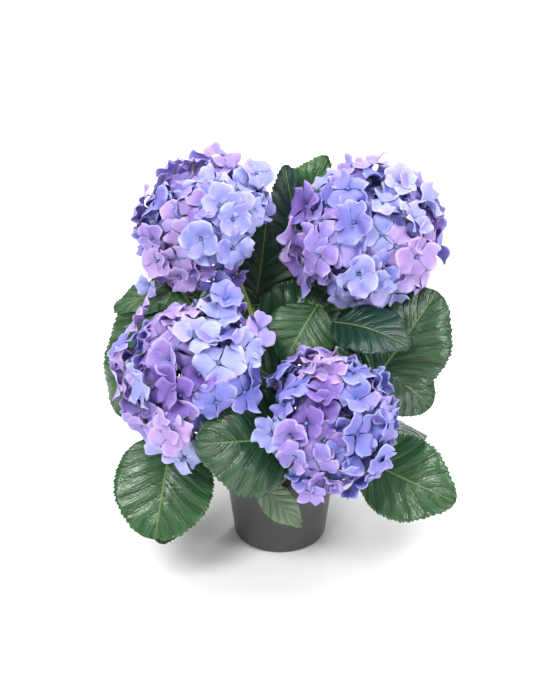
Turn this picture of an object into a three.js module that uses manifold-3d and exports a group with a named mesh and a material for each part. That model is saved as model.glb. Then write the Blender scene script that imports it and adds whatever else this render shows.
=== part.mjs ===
/**
 * Potted hydrangea made of cut fabric on wire stems: four round blooms over broad leaves,
 * in a small tapered plastic pot that is filled with cast compound.
 *
 * Millimetres, +Z up. The origin is the centre of the pot's flat underside, -Y is the front.
 * Each stem, bloom and leafy shoot is one solid; neighbours stay a small gap apart.
 */
import * as THREE from 'three';
import { mergeVertices } from 'three/addons/utils/BufferGeometryUtils.js';
import Module from 'manifold-3d';

const wasm = await Module();
wasm.setup();

// ------------------------------------------------------------------ driving dimensions

const GAP = 0.3; // clear distance between two pieces that meet

const POT = {
  height: 90,
  baseRadius: 48.5,
  rimRadius: 61,
  wall: 2.5,
  floor: 3,
  footRounding: 4,
  footChamfer: 0.3, // inner corner of the rounding, as a share of it
  bandHeight: 10, // the thicker band under the rim
  bandStep: 1.5,
  segments: 32,
};

const FILL = { top: 74 };

const STEM = { rootRadius: 3.2, tipRadius: 2.4, sides: 6, steps: 9 };

/** How a bloom is put together. */
const BLOOM = {
  hubDepth: 0.5, // how far the hub lies under the ball's centre, in ball radii
  neck: 16, // from the end of the stem to the hub
  neckInHub: 3,
  neckRadius: 2.4,
  neckSides: 6,
  rays: 7, // main rays that fan out from the hub, round a middle one
  rayReach: 0.55, // where a ray ends, as a share of the way to the ball's surface
  raySpread: 70, // degrees off the axis
  rayRadius: 1.7,
  rayTipRadius: 1.4,
  raySides: 3,
  hubKnuckle: 5.5,
  rayKnuckle: 3.8,
  stalkRadius: 1.0,
  stalkOffset: 0.14, // from the middle of a floret, in floret radii
  flattening: 0.9, // height of the ball along its axis, against its width
  petalThickness: 1.2,
  beadRise: 1.2, // the middle of a floret stands this much out
  notch: 0.62, // radius between two petals, against the radius at their tips
  cup: 0.16, // how far the petal tips lift, in floret radii
};

/** Floret radius, as a share of the ball's, and how far the seeded draws move a floret. */
const FLORET = { radius: 0.36, sizeSpread: 0.14, depthSpread: 0.09, tilt: 0.32 };

const PETALS = 4;
const GOLDEN_ANGLE = Math.PI * (3 - Math.sqrt(5));

/**
 * The four blooms: centre and radius of the ball that the florets lie on, its axis, the
 * spread of the florets off that axis in degrees, and the stem that carries it. The stem
 * leaves the fill at root, straight up for rise, and comes to the bloom over reach.
 */
const BLOOMS = {
  upper_left: {
    centre: [-75, 55, 338], axis: [-0.42, -0.12, 0.9], radius: 67, florets: 30, spread: 124,
    root: [-9, 8], rise: 110, reach: 70, seed: 21,
  },
  upper_right: {
    centre: [89, 65, 316], axis: [0.22, -0.3, 0.93], radius: 77, florets: 35, spread: 124,
    root: [10, 7], rise: 80, reach: 60, seed: 34,
  },
  lower_left: {
    centre: [-85, -65, 222], axis: [-0.5, -0.5, 0.71], radius: 78, florets: 36, spread: 122,
    root: [-9, -7], rise: 45, reach: 45, seed: 55,
  },
  lower_right: {
    centre: [46, -85, 183], axis: [0.3, -0.6, 0.74], radius: 68, florets: 30, spread: 122,
    root: [9, -9], rise: 28, reach: 28, seed: 89,
  },
};

/** Leaf section and outline. */
const LEAF = {
  thickness: 1.4,
  along: 6,
  across: 4,
  swell: 0.92, // moves the widest place towards the base
  bluntness: 0.5,
  endWidth: 2.2, // half width left at the base and the tip
  fold: 0.16, // rise of the two halves from the midrib
  curl: 0.2, // fall of the edges
  petioleRadius: 1.6,
  petioleTip: 1.1,
  petioleRun: 4, // how far the petiole goes into the blade
  petioleEase: 0.3, // how soon the petiole turns, as a share of its length
  petioleSides: 3,
  petioleSteps: 4,
};

/** The twig of a leafy shoot; its petioles leave it one after another, from the tip down. */
const TWIG = {
  rootRadius: 2.2,
  tipRadius: 1.8,
  sides: 5,
  steps: 3,
  bend: 0.3, // how far the twig runs square to its stem, as a share of its length
  lastFork: 0.92, // where the last petiole leaves, as a share of the twig's length
  forkSpacing: 0.16,
};

/**
 * Leafy shoots. Each grows from the side of one stem at a share of its length and ends in
 * leaves. A leaf is given by the place of its base, the bearing of its tip (degrees, from
 * +X towards +Y), its pitch above the level, its roll, its length, width and arch.
 */
const SHOOTS = {
  left_low: {
    from: ['lower_left', 0.3], end: [-72, -40, 135],
    leaves: [
      { base: [-106, -60, 152], bearing: 256, pitch: -48, roll: -12, length: 106, width: 97, arch: 8 },
      { base: [-100, -34, 128], bearing: 250, pitch: -52, roll: -7, length: 113, width: 70, arch: 8 },
    ],
  },
  left: {
    from: ['upper_left', 0.55], end: [-84, 34, 236],
    leaves: [
      { base: [-108, 28, 271], bearing: 223, pitch: -60, roll: -12, length: 142, width: 90, arch: 12 },
      { base: [-98, 66, 236], bearing: 140, pitch: -20, roll: 0, length: 105, width: 86, arch: 14 },
      { base: [-92, 22, 196], bearing: 185, pitch: -30, roll: 0, length: 92, width: 74, arch: 12 },
    ],
  },
  front: {
    from: ['lower_right', 0.45], end: [10, -52, 132],
    leaves: [
      { base: [19, -70, 157], bearing: 216, pitch: 16, roll: -64, length: 128, width: 112, arch: 6 },
      { base: [-24, -68, 104], bearing: 343, pitch: -44, roll: 59, length: 68, width: 34, arch: 3 },
    ],
  },
  right_low: {
    from: ['lower_right', 0.3], end: [50, -25, 104],
    leaves: [
      { base: [81, -38, 114], bearing: 330, pitch: -7, roll: 54, length: 111, width: 92, arch: 8 },
      { base: [72, 22, 112], bearing: 35, pitch: -22, roll: 0, length: 112, width: 88, arch: 12 },
    ],
  },
  right: {
    from: ['upper_right', 0.42], end: [66, 4, 160],
    leaves: [
      { base: [91, -4, 176], bearing: 33, pitch: 46, roll: 48, length: 124, width: 98, arch: 8 },
      { base: [96, 40, 168], bearing: 50, pitch: 0, roll: 0, length: 105, width: 84, arch: 14 },
    ],
  },
  middle: {
    from: ['upper_right', 0.6], end: [50, 26, 226],
    leaves: [
      { base: [57, 12, 245], bearing: 320, pitch: 2, roll: 24, length: 93, width: 62, arch: 8 },
      { base: [37, 26, 258], bearing: 228, pitch: -42, roll: -29, length: 66, width: 72, arch: 4 },
    ],
  },
  centre_back: {
    from: ['upper_left', 0.7], end: [-28, 66, 232],
    leaves: [
      { base: [-25, 80, 239], bearing: 73, pitch: 65, roll: 6, length: 108, width: 100, arch: -3 },
      { base: [2, 88, 213], bearing: 84, pitch: 6, roll: 0, length: 98, width: 94, arch: 12 },
    ],
  },
  top: {
    from: ['upper_right', 0.7], end: [34, 84, 262],
    leaves: [
      { base: [21, 82, 276], bearing: 125, pitch: 75, roll: -15, length: 108, width: 54, arch: 4 },
      { base: [12, 118, 300], bearing: 35, pitch: 60, roll: 57, length: 86, width: 62, arch: 5 },
    ],
  },
  back_left: {
    from: ['upper_left', 0.35], end: [-34, 60, 160],
    leaves: [
      { base: [-62, 88, 190], bearing: 125, pitch: 0, roll: 0, length: 112, width: 90, arch: 14 },
      { base: [-40, 84, 138], bearing: 112, pitch: -32, roll: 0, length: 115, width: 92, arch: 14 },
      { base: [-66, 52, 136], bearing: 165, pitch: -18, roll: 0, length: 98, width: 80, arch: 12 },
    ],
  },
  back_right: {
    from: ['upper_right', 0.3], end: [40, 60, 150],
    leaves: [
      { base: [76, 88, 214], bearing: 38, pitch: 12, roll: 10, length: 100, width: 84, arch: 12 },
      { base: [40, 84, 132], bearing: 72, pitch: -32, roll: 0, length: 115, width: 92, arch: 14 },
    ],
  },
};

// --------------------------------------------------------------------------- materials

const finish = (color, roughness) => (
  new THREE.MeshStandardMaterial({ color, roughness, metalness: 0 }));

const POT_GREY = finish(0x55565a, 0.45);
const FILL_DARK = finish(0x2b2723, 0.95);
const STEM_GREEN = finish(0x8f9a3c, 0.6);
const LEAF_GREEN = finish(0x24502c, 0.4);
const PETAL_BLUE = finish(0x9a9ee6, 0.75);

// ----------------------------------------------------------------------------- helpers

const UP = new THREE.Vector3(0, 0, 1);
const SIDEWAYS = new THREE.Vector3(1, 0, 0);
const NEARLY_UPRIGHT = 0.9;

const vector = ([x, y, z]) => new THREE.Vector3(x, y, z);
const radians = THREE.MathUtils.degToRad;
const lerp = THREE.MathUtils.lerp;

/** A small repeatable source of numbers from 0 to 1. */
function seeded(seed) {
  let state = seed >>> 0;
  return () => {
    state = (Math.imul(state, 1664525) + 1013904223) >>> 0;
    return state / 2 ** 32;
  };
}

/** Two unit vectors square to an axis and to each other. */
function crossAxes(axis) {
  const helper = Math.abs(axis.z) < NEARLY_UPRIGHT ? UP : SIDEWAYS;
  const first = new THREE.Vector3().crossVectors(helper, axis).normalize();
  return [first, new THREE.Vector3().crossVectors(axis, first)];
}

/** Moves every vertex of a geometry to the place that a function gives. */
function reshape(geometry, place) {
  const positions = geometry.attributes.position;
  const point = new THREE.Vector3();
  for (let i = 0; i < positions.count; i += 1) {
    place(point.fromBufferAttribute(positions, i));
    positions.setXYZ(i, point.x, point.y, point.z);
  }
  return geometry;
}

/** The closed solid of a geometry. */
function solid(geometry) {
  const bare = geometry.clone();
  bare.deleteAttribute('normal');
  bare.deleteAttribute('uv');
  const merged = mergeVertices(bare, 1e-4);
  return new wasm.Manifold(new wasm.Mesh({
    numProp: 3,
    vertProperties: new Float32Array(merged.attributes.position.array),
    triVerts: new Uint32Array(merged.index.array),
  }));
}

/** The geometry of a solid. */
function geometryOf(body) {
  const mesh = body.getMesh();
  const geometry = new THREE.BufferGeometry();
  geometry.setAttribute('position', new THREE.BufferAttribute(mesh.vertProperties, 3));
  geometry.setIndex(new THREE.BufferAttribute(mesh.triVerts, 1));
  return geometry;
}

/** Joins a list of solids into one. */
const fuse = (bodies) => bodies.reduce((whole, body) => whole.add(body));

/** A tapering limb along a curve, closed at both ends. */
function limb(curve, rootRadius, tipRadius, sides, steps) {
  const frames = curve.computeFrenetFrames(steps, false);
  const corners = Array.from({ length: sides }, (_, i) => {
    const angle = (i * 2 * Math.PI) / sides;
    return new THREE.Vector2(Math.cos(angle), Math.sin(angle));
  });
  const section = new THREE.Shape(corners);
  const prism = new THREE.ExtrudeGeometry(section, { depth: 1, steps, bevelEnabled: false });
  return reshape(prism, (point) => {
    const { x, y, z: share } = point;
    const step = Math.round(share * steps);
    const radius = lerp(rootRadius, tipRadius, share);
    point.copy(curve.getPointAt(share));
    point.addScaledVector(frames.normals[step], x * radius);
    point.addScaledVector(frames.binormals[step], y * radius);
  });
}

/** A point on the straight pieces that a limb makes of its curve, and the way they run. */
function limbPoint(curve, share, steps) {
  const step = Math.min(Math.floor(share * steps), steps - 1);
  const from = curve.getPointAt(step / steps);
  const to = curve.getPointAt((step + 1) / steps);
  const foot = from.clone().lerp(to, share * steps - step);
  return { foot, along: to.sub(from).normalize() };
}

/** A straight limb. */
function rod(from, to, rootRadius, tipRadius, sides) {
  return limb(new THREE.LineCurve3(from, to), rootRadius, tipRadius, sides, 1);
}

/** A small faceted ball where limbs fork. */
function knuckle(centre, radius) {
  return new THREE.OctahedronGeometry(radius, 0).translate(centre.x, centre.y, centre.z);
}

// -------------------------------------------------------------------------- pot and fill

/** Outer radius of the pot's wall at a height, without the band. */
const wallRadius = (height) => lerp(POT.baseRadius, POT.rimRadius - POT.bandStep, height / POT.height);

function potGeometry() {
  const { height, baseRadius, rimRadius, wall, floor } = POT;
  const { footRounding, footChamfer, bandHeight, bandStep } = POT;
  const bandFoot = height - bandHeight;
  const profile = [
    [0, 0],
    [baseRadius - footRounding, 0],
    [baseRadius - footRounding * footChamfer, footRounding * footChamfer],
    [wallRadius(footRounding), footRounding],
    [wallRadius(bandFoot), bandFoot],
    [wallRadius(bandFoot) + bandStep, bandFoot + bandStep],
    [rimRadius, height],
    [rimRadius - wall, height],
    [wallRadius(bandFoot) - wall, bandFoot],
    [wallRadius(floor) - wall, floor],
    [0, floor],
  ];
  const outline = profile.map(([radius, z]) => new THREE.Vector2(radius, z));
  return new THREE.LatheGeometry(outline, POT.segments).rotateX(Math.PI / 2);
}

function fillGeometry() {
  const foot = POT.floor + GAP;
  const profile = [
    [0, foot],
    [wallRadius(foot) - POT.wall - GAP, foot],
    [wallRadius(FILL.top) - POT.wall - GAP, FILL.top],
    [0, FILL.top],
  ];
  const outline = profile.map(([radius, z]) => new THREE.Vector2(radius, z));
  return new THREE.LatheGeometry(outline, POT.segments).rotateX(Math.PI / 2);
}

// ------------------------------------------------------------------------------ stems

/** The place of a bloom's parts along its axis. */
function bloomAxis({ centre, axis, radius }) {
  const direction = vector(axis).normalize();
  const hub = vector(centre).addScaledVector(direction, -BLOOM.hubDepth * radius);
  return { direction, hub, neckFoot: hub.clone().addScaledVector(direction, -BLOOM.neck) };
}

/** The middle line of the stem that carries a bloom. */
function stemCurve(bloom) {
  const { direction, neckFoot } = bloomAxis(bloom);
  const root = new THREE.Vector3(bloom.root[0], bloom.root[1], FILL.top + GAP);
  const end = neckFoot.clone().addScaledVector(direction, -GAP);
  const lower = root.clone().addScaledVector(UP, bloom.rise);
  const upper = end.clone().addScaledVector(direction, -bloom.reach);
  return new THREE.CubicBezierCurve3(root, lower, upper, end);
}

// ------------------------------------------------------------------------------ leaves

/** Half width of a leaf at a share of its length. */
function leafHalfWidth(share, width) {
  const profile = Math.sin(Math.PI * share ** LEAF.swell) ** LEAF.bluntness;
  return Math.max(LEAF.endWidth, (width / 2) * profile);
}

/** The midrib, and the direction that the upper side of a leaf looks in. */
function leafFrame({ base, bearing, pitch, roll, length, arch }) {
  const chord = SIDEWAYS.clone().multiplyScalar(Math.cos(radians(pitch)));
  chord.applyAxisAngle(UP, radians(bearing)).setZ(Math.sin(radians(pitch)));
  const face = UP.clone().addScaledVector(chord, -chord.z).normalize();
  face.applyAxisAngle(chord, radians(roll));
  const start = vector(base);
  const tip = start.clone().addScaledVector(chord, length);
  const crest = start.clone().lerp(tip, 0.5).addScaledVector(face, 2 * arch);
  return { midrib: new THREE.QuadraticBezierCurve3(start, crest, tip), face };
}

/** The blade of a leaf. */
function bladeGeometry(leaf) {
  const { midrib, face } = leafFrame(leaf);
  const box = new THREE.BoxGeometry(2, 1, LEAF.thickness, LEAF.across, LEAF.along, 1);
  return reshape(box, (point) => {
    const { x, y, z } = point;
    const share = y + 0.5;
    const along = midrib.getTangent(share);
    const normal = face.clone().addScaledVector(along, -along.dot(face)).normalize();
    const side = new THREE.Vector3().crossVectors(along, normal);
    const half = leafHalfWidth(share, leaf.width);
    point.copy(midrib.getPoint(share));
    point.addScaledVector(side, x * half);
    point.addScaledVector(normal, z + half * (LEAF.fold * Math.abs(x) - LEAF.curl * x * x));
  });
}

/** The petiole that joins a leaf to its twig and ends in the foot of the blade. */
function petioleGeometry(leaf, from, way) {
  const { midrib } = leafFrame(leaf);
  const base = midrib.getPoint(0);
  const along = midrib.getTangent(0);
  const end = base.clone().addScaledVector(along, LEAF.petioleRun);
  const reach = from.distanceTo(base) * LEAF.petioleEase;
  const leave = from.clone().addScaledVector(way, reach);
  const arrive = base.clone().addScaledVector(along, -reach);
  const curve = new THREE.CubicBezierCurve3(from, leave, arrive, end);
  return limb(curve, LEAF.petioleRadius, LEAF.petioleTip, LEAF.petioleSides, LEAF.petioleSteps);
}

/** A leafy shoot: a twig that meets its stem, and leaves on petioles. */
function shootSolid({ from, end, leaves }, curves) {
  const [name, share] = from;
  const { foot, along } = limbPoint(curves[name], share, STEM.steps);
  const out = vector(end).sub(foot);
  out.addScaledVector(along, -out.dot(along)).normalize();
  const stemRadius = lerp(STEM.rootRadius, STEM.tipRadius, share);
  const root = foot.clone().addScaledVector(out, stemRadius + GAP);
  const bend = root.clone().addScaledVector(out, root.distanceTo(vector(end)) * TWIG.bend);
  const twig = new THREE.QuadraticBezierCurve3(root, bend, vector(end));
  const parts = [solid(limb(twig, TWIG.rootRadius, TWIG.tipRadius, TWIG.sides, TWIG.steps))];
  leaves.forEach((leaf, i) => {
    const fork = TWIG.lastFork - i * TWIG.forkSpacing;
    const petiole = petioleGeometry(leaf, twig.getPointAt(fork), twig.getTangentAt(fork));
    parts.push(solid(petiole), solid(bladeGeometry(leaf)));
  });
  return fuse(parts);
}

// ------------------------------------------------------------------------------ blooms

/** The florets of a bloom: place, outward direction, spin and radius of each. */
function florets({ centre, axis, radius, florets: count, spread, seed }) {
  const draw = seeded(seed);
  const direction = vector(axis).normalize();
  const [first, second] = crossAxes(direction);
  const lowest = Math.cos(radians(spread));
  const list = [];
  for (let i = 0; i < count; i += 1) {
    const height = 1 - ((1 - lowest) * (i + 0.5)) / count;
    const across = Math.sqrt(1 - height * height);
    const turn = i * GOLDEN_ANGLE;
    const depth = 1 + FLORET.depthSpread * (draw() * 2 - 1);
    const leanFirst = FLORET.tilt * (draw() * 2 - 1);
    const leanSecond = FLORET.tilt * (draw() * 2 - 1);
    const spin = draw() * Math.PI;
    const size = FLORET.radius * radius * (1 + FLORET.sizeSpread * (draw() * 2 - 1));
    const out = new THREE.Vector3()
      .addScaledVector(first, across * Math.cos(turn))
      .addScaledVector(second, across * Math.sin(turn))
      .addScaledVector(direction, height * BLOOM.flattening);
    const place = vector(centre).addScaledVector(out, radius * depth);
    const facing = out.clone().addScaledVector(first, leanFirst).addScaledVector(second, leanSecond);
    list.push({ place, facing: facing.normalize(), spin, size });
  }
  return list;
}

/** The point under a petal, close to the middle of a floret, where its stalk comes in. */
function stalkSeat({ place, facing, spin, size }) {
  const [first, second] = crossAxes(facing);
  const turn = spin + Math.PI / (2 * PETALS);
  return place.clone()
    .addScaledVector(second, BLOOM.stalkOffset * size * Math.sin(turn))
    .addScaledVector(first, BLOOM.stalkOffset * size * Math.cos(turn));
}

/** One floret: four cupped petals round a raised middle, thicker all over by the margin. */
function floretGeometry({ place, facing, spin, size }, margin) {
  const [first, second] = crossAxes(facing);
  const thickness = BLOOM.petalThickness + 2 * margin;
  const disc = new THREE.CylinderGeometry(1, 1, thickness, PETALS * 2, 1);
  return reshape(disc, (point) => {
    const { x, y, z } = point;
    const onRim = Math.hypot(x, z) > 0.5;
    const angle = Math.atan2(x, z);
    const step = Math.round((angle / Math.PI) * PETALS);
    const reach = onRim ? size * (step % 2 === 0 ? 1 : BLOOM.notch) + margin : 0;
    const lift = onRim ? (BLOOM.cup * reach * reach) / size : BLOOM.beadRise * Math.sign(y);
    point.copy(place);
    point.addScaledVector(second, reach * Math.sin(angle + spin));
    point.addScaledVector(first, reach * Math.cos(angle + spin));
    point.addScaledVector(facing, y + lift);
  });
}

/** A floret on its stalk, which comes from the nearest ray end, thicker by the margin. */
function floretSolid(floret, rayEnds, margin) {
  const distance = (end) => end.distanceTo(floret.place);
  const near = rayEnds.reduce((a, b) => (distance(a) < distance(b) ? a : b));
  const radius = BLOOM.stalkRadius + margin;
  const stalk = rod(near, stalkSeat(floret), radius, radius, BLOOM.raySides);
  return solid(floretGeometry(floret, margin)).add(solid(stalk));
}

/** The places where the rays of a bloom end: one on the axis and a ring round it. */
function rayEnds(bloom) {
  const { direction, hub } = bloomAxis(bloom);
  const [first, second] = crossAxes(direction);
  return Array.from({ length: BLOOM.rays + 1 }, (_, i) => {
    const off = i === 0 ? 0 : radians(BLOOM.raySpread);
    const turn = (i * 2 * Math.PI) / BLOOM.rays;
    const surface = vector(bloom.centre)
      .addScaledVector(direction, bloom.radius * Math.cos(off))
      .addScaledVector(first, bloom.radius * Math.sin(off) * Math.cos(turn))
      .addScaledVector(second, bloom.radius * Math.sin(off) * Math.sin(turn));
    return hub.clone().lerp(surface, BLOOM.rayReach);
  });
}

/** A bloom: neck, rays and florets in one solid. A floret that finds no room is left out. */
function bloomSolid(bloom, neighbours) {
  const { direction, hub, neckFoot } = bloomAxis(bloom);
  const { neckRadius, neckSides, rayRadius, rayTipRadius, raySides } = BLOOM;
  const neckTop = hub.clone().addScaledVector(direction, BLOOM.neckInHub);
  const ends = rayEnds(bloom);
  const parts = [
    solid(rod(neckFoot, neckTop, neckRadius, neckRadius, neckSides)),
    solid(knuckle(hub, BLOOM.hubKnuckle)),
  ];
  for (const end of ends) {
    parts.push(solid(rod(hub, end, rayRadius, rayTipRadius, raySides)));
    parts.push(solid(knuckle(end, BLOOM.rayKnuckle)));
  }
  for (const floret of florets(bloom)) {
    const space = floretSolid(floret, ends, GAP);
    if (neighbours.every((other) => space.intersect(other).isEmpty())) {
      parts.push(floretSolid(floret, ends, 0));
    }
  }
  return fuse(parts);
}

// ------------------------------------------------------------------------------- group

const group = new THREE.Group();

/** Adds a named mesh to the group. */
function add(name, geometry, material) {
  const mesh = new THREE.Mesh(geometry, material);
  mesh.name = name;
  group.add(mesh);
}

add('pot', potGeometry(), POT_GREY);
add('pot_fill', fillGeometry(), FILL_DARK);

const curves = {};
const placed = [solid(potGeometry()), solid(fillGeometry())];
for (const [name, bloom] of Object.entries(BLOOMS)) {
  curves[name] = stemCurve(bloom);
  const geometry = limb(curves[name], STEM.rootRadius, STEM.tipRadius, STEM.sides, STEM.steps);
  add(`stem_${name}`, geometry, STEM_GREEN);
  placed.push(solid(geometry));
}

for (const [name, shoot] of Object.entries(SHOOTS)) {
  const body = shootSolid(shoot, curves);
  add(`leaves_${name}`, geometryOf(body), LEAF_GREEN);
  placed.push(body);
}

for (const [name, bloom] of Object.entries(BLOOMS)) {
  const body = bloomSolid(bloom, placed);
  add(`bloom_${name}`, geometryOf(body), PETAL_BLUE);
  placed.push(body);
}

export default group;
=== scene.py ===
"""Artificial potted hydrangea, dressed: four round blooms of fabric florets over toothed
leaves, on plastic-coated wire stems in a small dark grey pot with a cast filling.

Metres, +Z up, -Y towards the front. The stems, shoots and florets grow by the same rule as the
solids, carried on to single petals, veined leaves and beads.
"""

import logging
import math
from collections.abc import Iterable
from dataclasses import dataclass, field
from enum import Enum

import bpy
import numpy as np
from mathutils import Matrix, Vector
from mathutils.bvhtree import BVHTree

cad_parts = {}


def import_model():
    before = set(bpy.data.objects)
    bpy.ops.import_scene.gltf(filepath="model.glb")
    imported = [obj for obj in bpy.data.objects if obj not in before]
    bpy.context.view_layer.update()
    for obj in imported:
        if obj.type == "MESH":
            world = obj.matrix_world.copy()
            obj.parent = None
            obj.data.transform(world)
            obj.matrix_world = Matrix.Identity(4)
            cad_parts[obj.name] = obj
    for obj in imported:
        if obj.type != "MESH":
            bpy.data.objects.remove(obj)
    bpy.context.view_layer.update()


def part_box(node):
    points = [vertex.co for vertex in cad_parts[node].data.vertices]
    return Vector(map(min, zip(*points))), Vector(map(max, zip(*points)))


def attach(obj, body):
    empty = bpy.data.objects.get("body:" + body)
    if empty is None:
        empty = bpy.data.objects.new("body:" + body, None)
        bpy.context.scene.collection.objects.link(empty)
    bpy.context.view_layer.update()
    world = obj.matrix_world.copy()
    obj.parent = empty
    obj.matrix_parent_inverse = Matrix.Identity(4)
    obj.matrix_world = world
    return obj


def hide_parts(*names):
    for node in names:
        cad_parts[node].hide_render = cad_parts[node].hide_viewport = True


log = logging.getLogger("hydrangea")

Array = np.ndarray
Colour = tuple[float, float, float]
Place = tuple[float, float, float]
Pair = tuple[float, float]
Row = tuple[float, ...]
Object = bpy.types.Object
Material = bpy.types.Material
Socket = bpy.types.NodeSocket

MM = 0.001
GAP = 0.3 * MM
UP = np.array([0.0, 0.0, 1.0])
SIDEWAYS = np.array([1.0, 0.0, 0.0])
NEARLY_UPRIGHT = 0.9
GOLDEN_ANGLE = math.pi * (3 - math.sqrt(5))
BODY = "root"
PATCH_SCALE = 38.0
PATCH_BAND = (0.35, 0.65)
STREAK_SOURCE = 0.35
STREAK_WOBBLE = 0.08
WOBBLE_SCALE = 6.0


# ------------------------------------------------------------------------ vectors and curves


def unit(vector: Array) -> Array:
    """Returns the vector at length one."""
    return vector / np.linalg.norm(vector)


def unit_rows(rows: Array) -> Array:
    """Returns each row at length one."""
    return rows / np.linalg.norm(rows, axis=-1, keepdims=True)


def between(first: Array, second: Array, turn: float) -> Array:
    """Returns the way at a turn from the first of two square ways towards the second."""
    return first * math.cos(turn) + second * math.sin(turn)


def off_axis(axis: Array) -> Array:
    """Returns a plain way that is well off an axis."""
    return UP if abs(axis[2]) < NEARLY_UPRIGHT else SIDEWAYS


def cross_axes(axis: Array) -> tuple[Array, Array]:
    """Finds two unit vectors square to an axis and to each other.

    Args:
        axis: A unit vector.

    Returns:
        The first and the second cross axis.
    """
    first = unit(np.cross(off_axis(axis), axis))
    return first, np.cross(axis, first)


def ease(value: Array | float, low: float, high: float) -> Array | float:
    """Rises smoothly from 0 at low to 1 at high.

    Args:
        value: Where to read the rise.
        low: The value at which it starts.
        high: The value at which it is complete.

    Returns:
        The rise, from 0 to 1.
    """
    share = np.clip((value - low) / (high - low), 0.0, 1.0)
    return share * share * (3 - 2 * share)


def bezier(controls: Iterable[Array], share: Array | float) -> Array:
    """Evaluates a Bezier curve of any degree.

    Args:
        controls: Its control points.
        share: One parameter from 0 to 1, or an array of them.

    Returns:
        One point, or one row for each parameter.
    """
    rows = [np.asarray(control, float) for control in controls]
    t = np.asarray(share, float)[..., None]
    while len(rows) > 1:
        rows = [a * (1 - t) + b * t for a, b in zip(rows, rows[1:])]
    return rows[0]


@dataclass
class Path:
    """A smooth line that is read by the share of its length."""

    controls: list[Array]
    samples: int = 96

    def __post_init__(self) -> None:
        """Measures the line once."""
        self.line = bezier(self.controls, np.linspace(0, 1, self.samples + 1))
        steps = np.linalg.norm(np.diff(self.line, axis=0), axis=1)
        self.run = np.concatenate([[0.0], np.cumsum(steps)])
        self.length = float(self.run[-1])

    def at(self, share: Array | float) -> Array:
        """Returns the place at a share of the length, or one row for each share."""
        where = np.asarray(share, float) * self.length
        return np.stack([np.interp(where, self.run, self.line[:, k]) for k in range(3)], -1)

    def way(self, share: Array | float) -> Array:
        """Returns the unit direction of the line at a share of the length."""
        step = 0.01
        low = np.clip(np.asarray(share, float) - step, 0, 1 - 2 * step)
        return unit_rows(self.at(low + 2 * step) - self.at(low))


class Draws:
    """A small repeatable source of numbers from 0 to 1, the same as the solids use."""

    def __init__(self, seed: int) -> None:
        """Starts the row of numbers from a seed."""
        self.state = seed

    def __call__(self) -> float:
        """Returns the next number."""
        self.state = (self.state * 1664525 + 1013904223) % 2**32
        return self.state / 2**32

    def spread(self, reach: float) -> float:
        """Returns a number between minus and plus the reach."""
        return reach * (2 * self() - 1)


# ------------------------------------------------------------------------------ blank meshes


def deselect() -> None:
    """Leaves nothing selected, so that an operator works on the new primitive alone."""
    if bpy.context.object and bpy.context.object.mode != "OBJECT":
        bpy.ops.object.mode_set(mode="OBJECT")
    bpy.ops.object.select_all(action="DESELECT")


def start_modelling() -> None:
    """Opens the new primitive with everything selected."""
    bpy.ops.object.mode_set(mode="EDIT")
    bpy.ops.mesh.select_all(action="SELECT")


def draw_up(rise: float, ratio: float = 1.0) -> None:
    """Extrudes the selected faces upward and scales their new end."""
    bpy.ops.mesh.extrude_region_move(TRANSFORM_OT_translate={"value": (0, 0, rise)})
    if ratio != 1.0:
        bpy.ops.transform.resize(value=(ratio, ratio, 1))


def end_modelling() -> None:
    """Turns all faces outward and closes the primitive."""
    bpy.ops.mesh.select_all(action="SELECT")
    bpy.ops.mesh.normals_make_consistent(inside=False)
    bpy.ops.object.mode_set(mode="OBJECT")


def vertex_places(mesh: bpy.types.Mesh) -> Array:
    """Returns the places of a mesh's vertices, one row for each."""
    points = np.empty(len(mesh.vertices) * 3)
    mesh.vertices.foreach_get("co", points)
    return points.reshape(-1, 3)


def placed(name: str, data: bpy.types.ID) -> Object:
    """Makes an object of its data and puts it in the scene."""
    made = bpy.data.objects.new(name, data)
    bpy.context.scene.collection.objects.link(made)
    return made


def apply_modifiers(piece: Object) -> None:
    """Applies all the modifiers of a piece, first to last."""
    deselect()
    piece.select_set(True)
    bpy.context.view_layer.objects.active = piece
    for modifier in list(piece.modifiers):
        bpy.ops.object.modifier_apply(modifier=modifier.name)


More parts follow.
